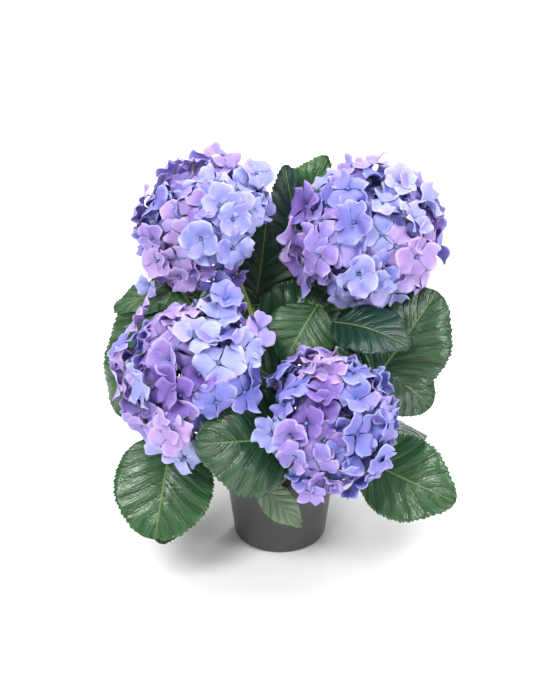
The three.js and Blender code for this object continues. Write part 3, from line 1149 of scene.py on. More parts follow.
@dataclass
class LeafCutter:
    """Shapes a blank sheet into leaves: outline, teeth, fold, quilting and a wavy edge.

    A leaf of the full size, which is in millimetres, has its teeth and waves at full height.
    """

    veins: Veins
    blank: Blank
    swell: float = 0.92
    end_width: float = 1.0 * MM
    fold: float = 0.16
    curl: float = 0.2
    thickness: float = 0.7 * MM
    teeth: int = 27
    tooth: float = 2.3 * MM
    quilt: float = 2.4 * MM
    wave: float = 2.2 * MM
    swells: float = 1.5 * MM
    groove: float = 0.9 * MM
    groove_width: float = 1.6 * MM
    full_size: float = 100.0
    stops: int = 101
    tooth_band: Pair = (0.78, 1.0)
    foot_band: Pair = (0.03, 0.12)
    tip_band: Pair = (0.93, 1.0)
    wave_turns: Pair = (1.6, 2.6)
    swell_turns: Pair = (2.0, 4.0)
    quilt_roundness: float = 0.7
    quilt_start: Pair = (0.0, 0.25)
    quilt_end: Pair = (0.75, 1.0)
    quilt_fading: float = 0.55
    far_wave: float = -0.8

    def half_width(self, share: Array, leaf: Leaf) -> Array:
        """Returns the half width of a leaf without its teeth, at shares of its length."""
        profile = np.maximum(np.sin(math.pi * np.clip(share, 0, 1) ** self.swell), 0)
        half = leaf.width * MM / 2 * profile**leaf.shoulder
        half = half * (1 - leaf.point * ease(share, 0.62, 1.0))
        return np.maximum(self.end_width, half)

    def cut(self, leaf: Leaf, seed: int) -> tuple[Array, Array]:
        """Shapes one leaf.

        Args:
            leaf: Where it lies and how large it is.
            seed: Sets its own waves.

        Returns:
            The places of its vertices, and their places on the leaf's UV map.
        """
        rng = np.random.default_rng(seed)
        across, along, layer = self.blank.points.T
        share = (along + 1) / 2
        reach = np.abs(across)
        midrib, face = leaf.frame()
        centre = bezier(midrib, share)
        stops = np.linspace(0, 1, self.stops)
        ways = np.gradient(bezier(midrib, stops), axis=0)
        way = unit_rows(np.stack([np.interp(share, stops, w) for w in ways.T], -1))
        normal = unit_rows(face - way * (way @ face)[:, None])
        side = np.cross(way, normal)
        half = self.half_width(share, leaf)
        size = min(1.0, leaf.length / self.full_size)
        saw = (share * self.teeth) % 1.0
        edge = ease(reach, *self.tooth_band)
        inside = ease(share, *self.foot_band) * (1 - 0.6 * ease(share, *self.tip_band))
        tooth = self.tooth * size * (saw - 0.45) * edge * inside
        phase = self.veins.phase(share, reach)
        valley = 1 - np.abs(np.sin(math.pi * phase)) ** self.quilt_roundness
        fading = 1 - self.quilt_fading * ease(reach, *self.quilt_end)
        soft = ease(reach, *self.quilt_start) * fading
        drop = self.quilt * size * valley * soft * ease(share, 0.0, 0.1)
        groove = self.groove * size * np.exp(-((across * half / self.groove_width) ** 2))
        turns, shift = rng.uniform(*self.wave_turns), rng.uniform(0, 2 * math.pi)
        sway = self.wave * size * reach**3 * np.sin(2 * math.pi * turns * share + shift)
        sway = sway * np.where(across > 0, 1.0, self.far_wave)
        for _ in range(3):
            turn, shift = rng.uniform(0, 2 * math.pi, 2)
            run = across * math.cos(turn) + (2 * share - 1) * math.sin(turn) * 1.6
            turns = rng.uniform(*self.swell_turns)
            sway = sway + self.swells * size * reach * np.sin(turns * run + shift)
        rise = half * (self.fold * reach - self.curl * reach * reach)
        rise += layer * self.thickness - drop - groove + sway
        lateral = across * half + np.sign(across) * tooth
        points = centre + side * lateral[:, None] + normal * rise[:, None]
        points += way * (0.35 * self.tooth * size * (saw - 0.3) * edge * inside)[:, None]
        return points, np.stack([(across + 1) / 2, share], -1)


@dataclass
class Shoot:
    """A leafy shoot: a twig from the side of a stem, petioles along it and their leaves.

    Its end and the depth of its ribs are in millimetres, its other sizes in metres.
    """

    name: str
    stem: str
    share: float
    end: Place
    leaves: list[Leaf]
    young: list[Leaf] = field(default_factory=list)
    bend: float = 0.3
    last_fork: float = 0.92
    fork_spacing: float = 0.16
    root_radius: float = 2.2 * MM
    tip_radius: float = 1.8 * MM
    petiole_radius: float = 1.5 * MM
    petiole_tip: float = 1.0 * MM
    petiole_ease: float = 0.3
    rib_depth: float = 0.75
    rib_end: float = 0.94
    twig_taper: Row = (1.25, 1.0, 0.95, 0.9)
    twig_end: float = 0.8
    petiole_taper: Row = (1.25, 1.0, 0.9, 0.85)
    petiole_end: float = 1.1
    rib_taper: Row = (1.0, 0.9, 0.7, 0.5, 0.25)

    def twig(self, stem: Stem) -> Path:
        """Finds the line of the twig.

        Args:
            stem: The stem that it leaves.

        Returns:
            The line, from inside the stem to its end.
        """
        foot = stem.path.at(self.share)
        way = stem.path.way(self.share)
        end = np.array(self.end) * MM
        out = end - foot
        out = unit(out - way * (out @ way))
        root = foot + out * (stem.radius(self.share) + GAP)
        crest = root + out * np.linalg.norm(end - root) * self.bend
        return Path([foot + out * stem.radius(self.share) * 0.5, crest, end])

    def petiole(self, leaf: Leaf, twig: Path, fork: float) -> Path:
        """Finds the line of a petiole.

        Args:
            leaf: The leaf that it carries.
            twig: The twig that it leaves.
            fork: Where it leaves, as a share of the twig's length.

        Returns:
            The line, from the twig to the foot of the blade.
        """
        start = twig.at(fork)
        midrib, _ = leaf.frame()
        way = unit(midrib[1] - midrib[0])
        reach = np.linalg.norm(midrib[0] - start) * self.petiole_ease
        arrive = midrib[0] - way * reach
        return Path([start, start + twig.way(fork) * reach, arrive, midrib[0] + way * MM])

    def build_twigs(self, stem: Stem, prism: Blank, sleeve: Material) -> None:
        """Models the twig, the petioles and the ribs that run on under the blades.

        Args:
            stem: The stem that carries the shoot.
            prism: The blank of a limb.
            sleeve: The finish of the petioles.
        """
        joined = Joined()
        twig = self.twig(stem)
        radii = [share * self.root_radius for share in self.twig_taper]
        joined.limb(prism, twig, radii + [self.tip_radius * self.twig_end])
        for i, leaf in enumerate(self.leaves + self.young):
            fork = self.last_fork - i * self.fork_spacing
            radii = [share * self.petiole_radius for share in self.petiole_taper]
            radii.append(self.petiole_tip * self.petiole_end)
            joined.limb(prism, self.petiole(leaf, twig, fork), radii)
            midrib, face = leaf.frame()
            sunk = [point - face * self.rib_depth * MM for point in midrib]
            sunk[-1] = bezier(sunk, self.rib_end)
            joined.limb(prism, Path(sunk), self.rib_taper, self.petiole_tip)
        settle(joined.build(f"{self.name}_twigs", [sleeve]), "leaf")

    def build_blades(
        self, cutter: LeafCutter, finishes: dict[LeafTone, Material],
        underside: Material,
    ) -> Object:
        """Models the blades of the shoot's leaves as one piece.

        Args:
            cutter: Shapes the blank into leaves.
            finishes: The material of each green.
            underside: The material of the lower sides.

        Returns:
            The finished piece.
        """
        joined = Joined()
        grown = self.leaves + self.young
        tones = sorted({leaf.tone for leaf in grown}, key=lambda tone: tone.name)
        lower = cutter.blank.lower_faces()
        for i, leaf in enumerate(grown):
            points, places = cutter.cut(leaf, seed=i * 17 + len(self.name))
            slot = np.where(lower, len(tones), tones.index(leaf.tone))
            joined.add(cutter.blank, points, slot, places)
        materials = [finishes[tone] for tone in tones] + [underside]
        piece = joined.build(f"{self.name}_blades", materials)
        return settle(piece, "leaf", f"leaves_{self.name}")


# ------------------------------------------------------------------------------------ blooms


@dataclass
class Floret:
    """The place of one floret, and how deep it sits in the bloom, which also sets how much painted
    shade its petals take.
    """

    place: Array
    facing: Array
    spin: float
    size: float
    depth: float = 0.0
    heart_below: float = 0.1
    heart_height: float = 0.45

    def pierced(self, petals: list[BVHTree]) -> bool:
        """Tells whether petals of another floret stick through the heart of this one."""
        start = Vector(self.place - self.facing * self.heart_below * self.size)
        reach = self.heart_height * self.size
        way = Vector(self.facing)
        return any(petal.ray_cast(start, way, reach)[0] is not None for petal in petals)


@dataclass
class PetalCutter:
    """Shapes a blank sheet into petals: round fans that rise, roll back, twist and ruffle."""

    blank: Blank
    petals: int = 4
    thickness: float = 0.35 * MM
    half_width: float = 0.57
    foot: float = 0.30
    steps: int = 32
    turns: float = 0.16
    lengths: Pair = (0.95, 1.16)
    widths: Pair = (0.9, 1.08)
    rises: float = 0.22
    rolls: Pair = (0.55, 1.75)
    arches: Pair = (-1.2, 0.75)
    twists: float = 0.55
    ruffles: Pair = (0.05, 0.13)
    fine_ruffles: Pair = (0.015, 0.04)
    dents: Pair = (-0.05, 0.07)
    lobes: float = 0.05
    fine_lobes: float = 0.015
    ruffle_band: Pair = (0.08, 0.45)
    crease: float = 0.05
    crease_width: float = 0.17
    crease_fading: float = 0.6
    heart: float = 0.05
    dye_spread: float = 0.15
    # How much the cloth darkens where it folds down: painted shade.
    fold_painted_shade: float = 3.2
    foot_dye: float = 0.5
    blushes: Pair = (-0.3, 0.7)
    blush_wave: float = 0.5
    gather: float = 0.78
    # Where and how strongly the petal's edge gets its painted highlight.
    rim_highlight_band: Pair = (0.72, 1.0)
    rim_highlight_share: float = 0.7
    throat_reach: float = 0.28
    throat_share: float = 0.8

    def __post_init__(self) -> None:
        """Lays the blank's square out as a round disc with narrow rings at its rim."""
        across, along, self.layer = self.blank.points.T
        across, along = (np.sign(way) * np.abs(way) ** self.gather for way in (across, along))
        self.x = across * np.sqrt(1 - along**2 / 2)
        self.y = along * np.sqrt(1 - across**2 / 2)
        self.radius = np.hypot(self.x, self.y)
        self.angle = np.arctan2(self.x, self.y)
        self.share = (self.y + 1) / 2
        self.places = np.stack([(self.x + 1) / 2, self.share], -1)
        # Painted highlight along the outer edge of each petal.
        self.rim = self.rim_highlight_share * ease(self.radius, *self.rim_highlight_band) * ease(self.share, 0.1, 0.5)
        self.throat = self.throat_share * np.exp(-((self.share / self.throat_reach) ** 2))
        faces = np.split(self.blank.corners, np.cumsum(self.blank.counts)[:-1])
        self.faces = [face.tolist() for face in faces]

    def tree(self, points: Array) -> BVHTree:
        """Returns the search tree of a petal with these places of its vertices."""
        return BVHTree.FromPolygons(points.tolist(), self.faces)

    def wave(self, rng: np.random.Generator, low: float, high: float) -> Array:
        """Draws a wave that runs round the petal, with its number of crests in a range."""
        return np.sin(rng.uniform(low, high) * self.angle + rng.uniform(0, 2 * math.pi))

    def midline(self, rise: float, fall: float) -> tuple[Array, Array, Array]:
        """Bends the middle line of a petal.

        Args:
            rise: The angle at which it leaves the centre.
            fall: The angle that it has at the tip.

        Returns:
            For each vertex, its run outward and upward in petal lengths, and the angle there.
        """
        stops = np.linspace(0, 1, self.steps + 1)
        angles = rise + (fall - rise) * stops**1.2
        middles = (angles[1:] + angles[:-1]) / 2
        outward = np.concatenate([[0], np.cumsum(np.cos(middles))]) / self.steps
        upward = np.concatenate([[0], np.cumsum(np.sin(middles))]) / self.steps
        return (
            np.interp(self.share, stops, outward),
            np.interp(self.share, stops, upward),
            np.interp(self.share, stops, angles),
        )

    def cut(
        self, floret: Floret, index: int, opening: float, rng: np.random.Generator
    ) -> tuple[Array, Array, Array]:
        """Shapes one petal of a floret.

        Args:
            floret: The floret that it belongs to.
            index: Which petal of the floret it is.
            opening: The angle at which the floret's petals rise.
            rng: Sets the petal's own form.

        Returns:
            The places of its vertices; at each, how dark the cloth is coloured, from an uneven tone
            and from painted shade in its folds, and how much of the second colour it takes.
        """
        first, second = cross_axes(floret.facing)
        turn = floret.spin + index * 2 * math.pi / self.petals
        turn += rng.uniform(-self.turns, self.turns)
        out = between(first, second, turn)
        side = second * math.cos(turn) - first * math.sin(turn)
        length = floret.size * rng.uniform(*self.lengths)
        half = length * self.half_width * rng.uniform(*self.widths)
        rise = opening + rng.uniform(-self.rises, self.rises)
        outward, upward, angle = self.midline(rise, rise - rng.uniform(*self.rolls))
        arch = rng.uniform(*self.arches)
        twist = rng.uniform(-self.twists, self.twists) * self.share
        growth = 1 + self.lobes * self.wave(rng, 2.0, 4.0) * self.radius**2
        growth = growth + self.fine_lobes * self.wave(rng, 6.0, 9.0) * self.radius**4
        widening = self.foot + (1 - self.foot) * ease(self.share, 0.0, 0.5)
        lateral = self.x * half * widening * growth * (1 - (arch * self.x) ** 2 / 6)
        hang = half * arch / 2 * self.x**2 * (0.3 + 0.7 * self.share)
        ruffle = rng.uniform(*self.ruffles) * self.wave(rng, 3.0, 5.0)
        ruffle = ruffle + rng.uniform(*self.fine_ruffles) * self.wave(rng, 6.0, 8.0)
        ruffle = ruffle * self.radius**2.4 * ease(self.share, *self.ruffle_band)
        dent = rng.uniform(*self.dents) * np.sin(self.x * rng.uniform(2, 5) + self.y * 2.5)
        crease = self.crease * np.exp(-((self.x / self.crease_width) ** 2))
        crease = crease * (1 - self.crease_fading * self.share)
        fold = ruffle + dent - crease
        hang = hang + length * fold + self.layer * self.thickness
        # Painted shade: the cloth is darker where it folds down, on top of its uneven tone.
        crease_shade_and_dye = rng.uniform(-self.dye_spread, self.dye_spread) - self.fold_painted_shade * fold
        crease_shade_and_dye = crease_shade_and_dye - self.foot_dye * (self.share - 0.45)
        blush = rng.uniform(*self.blushes)
        blush = blush + self.blush_wave * self.wave(rng, 0.5, 1.5) * self.radius
        ahead = floret.facing[None] * np.cos(angle)[:, None] - out * np.sin(angle)[:, None]
        across = side * np.cos(twist)[:, None] + ahead * np.sin(twist)[:, None]
        above = ahead * np.cos(twist)[:, None] - side * np.sin(twist)[:, None]
        reach = length * (self.heart + (1 - self.heart) * outward * growth)
        spine = out * reach[:, None] + floret.facing * (length * upward)[:, None]
        points = floret.place + spine + across * lateral[:, None] + above * hang[:, None]
        return points, crease_shade_and_dye, np.clip(blush, 0, 1)


@dataclass
class Spot:
    """A place on the face of a bloom, in ball radii from its centre."""

    right: float
    up: float

    def apart(self, right: float, up: float) -> float:
        """Returns how far another place on the face is from this one."""
        return math.hypot(self.right - right, self.up - up)


@dataclass
class Patch(Spot):
    """A colour on the face of a bloom."""

    hue: Hue


@dataclass
class Sprig(Spot):
    """A floret that stands out of the ball, with its nearness and size in ball radii."""

    near: float
    size: float
    hue: Hue


@dataclass
class Hollow(Spot):
    """A round dip in the face of a bloom that no floret grows in."""

    size: float


@dataclass
class Bloom:
    """A round flower head: neck, rays and stalks that carry florets over a ball.

    Its lengths are in millimetres; shares are of the ball's radius or of a floret's size.
    """

    name: str
    centre: Place
    axis: Place
    radius: float
    count: int
    spread: float
    root: Pair
    rise: float
    reach: float
    seed: int
    patches: list[Patch] = field(default_factory=list)
    sprigs: list[Sprig] = field(default_factory=list)
    hollows: list[Hollow] = field(default_factory=list)
    hub_depth: float = 0.5
    neck: float = 16.0
    rays: int = 7
    ray_reach: float = 0.55
    ray_spread: float = 70.0
    flattening: float = 0.9
    floret_radius: float = 0.36
    size_spread: float = 0.14
    depth_spread: float = 0.09
    tilt: float = 0.32
    layers: int = 4
    tries: int = 5
    layer_depth: float = 0.06
    sink: float = 0.06
    shrink: float = 0.84
    apart: float = 0.5
    near: float = 1.2
    extra_tilt: float = 0.28
    openings: Pair = (0.15, 0.95)
    step_in: float = 0.09
    step_round: float = 0.7
    tints: Pair = (0.05, 0.5)
    # How much darker the florets further in are: painted shade inside the ball.
    inner_painted_shade: float = 0.45
    far_side: float = 0.35
    hollow_side: float = 0.3
    odd_one: float = 0.92
    mingling: float = 0.1
    bead: float = 1.9
    bead_lift: float = 1.2
    bead_height: float = 0.8
    neck_radii: Row = (2.5, 2.4, 2.6, 3.6)
    ray_radii: Row = (2.4, 1.7, 1.5, 2.4)
    stalk_radii: Row = (1.1, 0.8, 0.8, 1.6)
    ray_bow: float = -4.0
    stalk_rise: float = 7.0

    def __post_init__(self) -> None:
        """Works out the hub and the foot of the neck in metres."""
        self.direction = unit(np.array(self.axis, float))
        self.middle = np.array(self.centre) * MM
        self.ball = self.radius * MM
        self.hub = self.middle - self.direction * self.hub_depth * self.ball
        self.neck_foot = self.hub - self.direction * self.neck * MM

    def stem_path(self, fill_level: float) -> Path:
        """Finds the line of the stem that carries the bloom.

        Args:
            fill_level: The height at which the stem leaves the filling.

        Returns:
            The line, from just inside the filling to the foot of the neck.
        """
        root = np.array([self.root[0] * MM, self.root[1] * MM, fill_level + GAP])
        end = self.neck_foot - self.direction * GAP
        lower = root + UP * self.rise * MM
        upper = end - self.direction * self.reach * MM
        return Path([root, lower, upper, end])

    def ray_ends(self) -> Array:
        """Returns the places where the rays end: one on the axis and a ring round it."""
        first, second = cross_axes(self.direction)
        ends = []
        for i in range(self.rays + 1):
            off = math.radians(self.ray_spread) if i else 0.0
            turn = i * 2 * math.pi / self.rays
            way = between(self.direction, between(first, second, turn), off)
            goal = self.middle + way * self.ball
            ends.append(self.hub + (goal - self.hub) * self.ray_reach)
        return np.array(ends)

    def florets(self, layer: int) -> list[Floret]:
        """Deals one layer of florets over the ball.

        Args:
            layer: 0 for the florets of the solids, above that for those between and under them.

        Returns:
            The florets, from the top of the ball down.
        """
        draw = Draws(self.seed + 1000 * layer)
        first, second = cross_axes(self.direction)
        lowest = math.cos(math.radians(self.spread))
        dealt = []
        for i in range(self.count):
            step = i + layer / self.layers
            height = 1 - (1 - lowest) * (step + 0.5) / self.count
            across = math.sqrt(max(0.0, 1 - height * height))
            turn = step * GOLDEN_ANGLE
            depth = 1 + draw.spread(self.depth_spread) - self.sink - self.layer_depth * layer
            lean_first = draw.spread(self.tilt)
            lean_second = draw.spread(self.tilt)
            spin = draw() * math.pi
            size = self.floret_radius * self.ball * (1 + draw.spread(self.size_spread))
            out = between(first, second, turn) * across
            out = out + self.direction * height * self.flattening
            lean = first * (lean_first + draw.spread(self.extra_tilt))
            lean = lean + second * (lean_second + draw.spread(self.extra_tilt))
            place = self.middle + out * self.ball * depth
            # Deeper layers take more painted shade.
            shade = layer / (self.layers - 1)
            dealt.append(Floret(place, unit(out + lean), spin, size * self.shrink, shade))
        return dealt

    def stray(self, sprig: Sprig, view: "View") -> Floret:
        """Finds the place of a floret that stands out of the ball.

        Args:
            sprig: Where it shows.
            view: The view that its place is given in.

        Returns:
            The floret.
        """
        offset = SIDEWAYS * sprig.right + view.up * sprig.up - view.forward * sprig.near
        facing = unit(unit(offset) - view.forward * 0.8)
        place = self.middle + offset * self.ball
        return Floret(place, facing, sprig.right * 5, sprig.size * self.ball)

    def seen(self, floret: Floret, view: "View") -> Place:
        """Returns how far right, up and away a floret is from the centre, in ball radii."""
        offset = (floret.place - self.middle) / self.ball
        return offset @ SIDEWAYS, offset @ view.up, offset @ view.forward

    def bare(self, floret: Floret, view: "View") -> bool:
        """Tells whether a floret would grow in one of the hollows on the near side."""
        right, up, away = self.seen(floret, view)
        near = away < self.hollow_side
        return near and any(hollow.apart(right, up) < hollow.size for hollow in self.hollows)

    def hue(self, floret: Floret, view: "View", draw: Draws) -> Hue:
        """Picks the colour of a floret.

        Args:
            floret: The floret.
            view: The view that the patches are placed in.
            draw: Picks for the florets that face away.

        Returns:
            The hue of the nearest patch, or one by lot on the far side.
        """
        right, up, away = self.seen(floret, view)
        chance = draw()
        right = right + draw.spread(self.mingling)
        up = up + draw.spread(self.mingling)
        if away > self.far_side or chance > self.odd_one:
            mixed = [Hue.PALE, Hue.BLUE, Hue.BLUE, Hue.LILAC, Hue.PALE, Hue.PINK, Hue.LILAC]
            return mixed[int(draw() * len(mixed))]
        return min(self.patches, key=lambda patch: patch.apart(right, up)).hue

    def fits(
        self, floret: Floret, own: list[BVHTree], kept: list[Floret],
        grown: list[list[BVHTree]], taken: list[BVHTree],
    ) -> bool:
        """Tells whether a floret has room.

        Args:
            floret: The floret.
            own: Its petals.
            kept: The florets that stand already.
            grown: The petals of each of them.
            taken: The leaves and stems that no petal may touch.

        Returns:
            False where it crowds another floret, sticks through one, or touches a limb.
        """
        room = [np.linalg.norm(f.place - floret.place) / (f.size + floret.size) for f in kept]
        if room and 2 * min(room) < self.apart:
            return False
        if any(petal.overlap(limb) for petal in own for limb in taken):
            return False
        near = [k for k, share in enumerate(room) if share < self.near]
        return not any(floret.pierced(grown[k]) or kept[k].pierced(own) for k in near)

    def build_petals(
        self, cutters: list[PetalCutter], view: "View", taken: list[BVHTree],
        finishes: dict[Hue, Material],
    ) -> list[Floret]:
        """Models all the petals as one piece; a floret that finds no room is left out.

        Args:
            cutters: Shape the petals that show and those further in.
            view: The view that the colour patches are placed in.
            taken: The leaves and stems that no petal may touch.
            finishes: The material of each hue.

        Returns:
            The florets that found room.
        """
        joined = Joined()
        hues = list(Hue)
        rng = np.random.default_rng(self.seed)
        draw = Draws(self.seed * 7 + 3)
        layers = [floret for layer in range(self.layers) for floret in self.florets(layer)]
        dealt = [(self.stray(sprig, view), sprig.hue) for sprig in self.sprigs]
        dealt += [(f, self.hue(f, view, draw)) for f in layers if not self.bare(f, view)]
        kept: list[Floret] = []
        grown: list[list[BVHTree]] = []
        for floret, hue in dealt:
            cutter = cutters[int(floret.depth > 0.5)]
            for _ in range(self.tries):
                opening = rng.uniform(*self.openings)
                shapes = [cutter.cut(floret, k, opening, rng) for k in range(cutter.petals)]
                own = [cutter.tree(points) for points, _, _ in shapes]
                if self.fits(floret, own, kept, grown, taken):
                    break
                floret.place = floret.place - floret.facing * self.step_in * floret.size
                floret.spin += self.step_round
            else:
                continue
            # Florets further in are darker: painted shade inside the ball, on top of a random tone.
            tint = rng.uniform(*self.tints) + self.inner_painted_shade * floret.depth
            for points, crease_shade_and_dye, blush in shapes:
                joined.add(
                    cutter.blank, points, hues.index(hue), cutter.places, rim=cutter.rim,
                    throat=cutter.throat, tint=np.clip(tint + crease_shade_and_dye, 0, 1), blush=blush,
                )
            kept.append(floret)
            grown.append(own)
        piece = joined.build(f"{self.name}_petals", [finishes[hue] for hue in hues])
        settle(piece, "petal", f"bloom_{self.name}")
        return kept

    def build_beads(self, kept: list[Floret], ball: Blank, paint: Material) -> None:
        """Models the bead in the middle of each floret.

        Args:
            kept: The florets.
            ball: The blank of a bead.
            paint: The finish of the beads.
        """
        joined = Joined()
        for floret in kept:
            first, second = cross_axes(floret.facing)
            axes = np.array([first, second, floret.facing * self.bead_height])
            middle = floret.place + floret.facing * self.bead_lift * MM
            joined.add(ball, middle + (ball.points * self.bead * MM) @ axes)
        settle(joined.build(f"{self.name}_beads", [paint]), "petal")

    def build_stalks(self, kept: list[Floret], prism: Blank, paint: Material) -> None:
        """Models the neck, the rays and the stalks of the florets.

        Args:
            kept: The florets.
            prism: The blank of a limb.
            paint: The finish of the stalks.
        """
        joined = Joined()
        neck = Path([self.neck_foot - self.direction * 2 * MM, self.hub + self.direction * MM])
        joined.limb(prism, neck, self.neck_radii, MM)
        ends = self.ray_ends()
        for end in ends:
            bow = (self.hub + end) / 2 + self.direction * self.ray_bow * MM
            joined.limb(prism, Path([self.hub, bow, end]), self.ray_radii, MM)
        for floret in kept:
            near = ends[np.argmin(np.linalg.norm(ends - floret.place, axis=1))]
            under = floret.place - floret.facing * self.stalk_rise * MM
            joined.limb(prism, Path([near, under, floret.place]), self.stalk_radii, MM)
        settle(joined.build(f"{self.name}_stalks", [paint]), "petal")


# ----------------------------------------------------------------------------- the arrangement


def blooms() -> list[Bloom]:
    """Lists the four blooms, in millimetres and degrees.

    Returns:
        The blooms, back to front.
    """
    pale, blue, lilac, pink, violet = Hue
    return [
        Bloom(
            "upper_left", (-75, 55, 338), (-0.42, -0.12, 0.9), 67, 30, 124,
            (-9, 8), 110, 70, 21,
            [
                Patch(-0.15, 0.25, pale), Patch(0.35, 0.0, pale), Patch(0.8, 0.6, pale),
                Patch(0.25, 1.0, lilac), Patch(-0.3, 0.7, lilac), Patch(-0.75, 0.5, lilac),
                Patch(-0.45, -0.35, pink), Patch(-0.9, -0.3, lilac), Patch(-0.75, 0.05, blue),
                Patch(0.15, -0.6, pale), Patch(-0.5, -0.8, pink),
            ],
            [
                Sprig(0.76, 0.70, 0.3, 0.29, pale), Sprig(-0.86, -0.95, 0.1, 0.2, pale),
                Sprig(-0.72, -0.62, 0.5, 0.27, pink), Sprig(0.25, 1.0, 0.1, 0.27, lilac),
                Sprig(-0.38, -0.86, 0.4, 0.27, pink), Sprig(0.1, -0.92, 0.2, 0.27, blue),
                Sprig(-0.88, -0.42, 0.2, 0.25, blue), Sprig(-0.8, -0.72, 0.1, 0.24, lilac),
                Sprig(0.42, 0.84, 0.1, 0.25, lilac), Sprig(0.6, 0.5, 0.45, 0.28, pale),
                Sprig(-0.1, -0.7, 0.5, 0.27, lilac), Sprig(-0.56, -0.9, 0.0, 0.25, pink),
                Sprig(0.4, -0.84, 0.1, 0.24, violet),
            ],
            [Hollow(0.88, -0.35, 0.42)],
        ),
        Bloom(
            "upper_right", (89, 65, 316), (0.22, -0.3, 0.93), 77, 35, 124,
            (10, 7), 80, 60, 34,
            [
                Patch(-0.6, 0.8, pale), Patch(-0.1, 0.85, lilac), Patch(-1.0, 0.5, violet),
                Patch(-0.9, 0.1, pink), Patch(-0.4, 0.35, blue), Patch(-0.4, -0.15, lilac),
                Patch(0.2, 0.1, pale), Patch(0.5, 0.6, pale), Patch(0.6, -0.25, pink),
                Patch(1.0, 0.0, blue), Patch(-0.1, -0.75, pale),
            ],
            [
                Sprig(0.05, -0.86, 0.5, 0.29, pale), Sprig(-0.4, -0.14, 0.84, 0.34, lilac),
                Sprig(0.62, -0.3, 0.64, 0.29, pink), Sprig(0.9, 0.32, 0.1, 0.25, violet),
                Sprig(0.58, 0.68, 0.3, 0.27, lilac), Sprig(-0.18, 0.95, 0.1, 0.27, lilac),
            ],
            [Hollow(0.98, 0.68, 0.2)],
        ),
        Bloom(
            "lower_left", (-85, -65, 222), (-0.5, -0.5, 0.71), 78, 36, 122,
            (-9, -7), 45, 45, 55,
            [
                Patch(-0.35, 0.75, pink), Patch(-0.3, 0.35, lilac), Patch(-0.85, 0.5, blue),
                Patch(-0.1, 0.1, violet), Patch(0.4, 0.3, pale), Patch(0.65, 0.75, lilac),
                Patch(0.85, 0.3, blue), Patch(-0.95, 0.2, pink), Patch(-0.7, -0.05, pale),
                Patch(-0.55, -0.4, lilac), Patch(-0.25, -0.65, pink), Patch(-0.1, -1.0, pale),
                Patch(0.3, -0.2, blue),
            ],
            [
                Sprig(0.4, 0.98, 0.2, 0.27, blue), Sprig(0.84, 0.62, 0.2, 0.24, lilac),
                Sprig(-0.1, -0.98, 0.4, 0.27, pale), Sprig(-0.24, -0.66, 0.66, 0.3, pink),
            ],
            [Hollow(-1.08, -0.32, 0.35), Hollow(-0.95, -0.66, 0.25)],
        ),
        Bloom(
            "lower_right", (46, -85, 183), (0.3, -0.6, 0.74), 68, 30, 122,
            (9, -9), 28, 28, 89,
            [
                Patch(-0.3, 0.9, lilac), Patch(0.0, 0.65, pink), Patch(-0.05, 0.3, violet),
                Patch(-0.5, 0.45, blue), Patch(0.45, 0.8, blue), Patch(0.35, 0.2, blue),
                Patch(0.8, 0.2, blue), Patch(-0.8, -0.15, pale), Patch(-0.3, -0.3, lilac),
                Patch(-0.2, -0.65, blue), Patch(0.5, -0.5, blue), Patch(0.0, -1.0, lilac),
            ],
            [Sprig(-0.8, -0.14, 0.55, 0.28, pale), Sprig(-0.22, -0.98, 0.3, 0.25, lilac)],
        ),
    ]


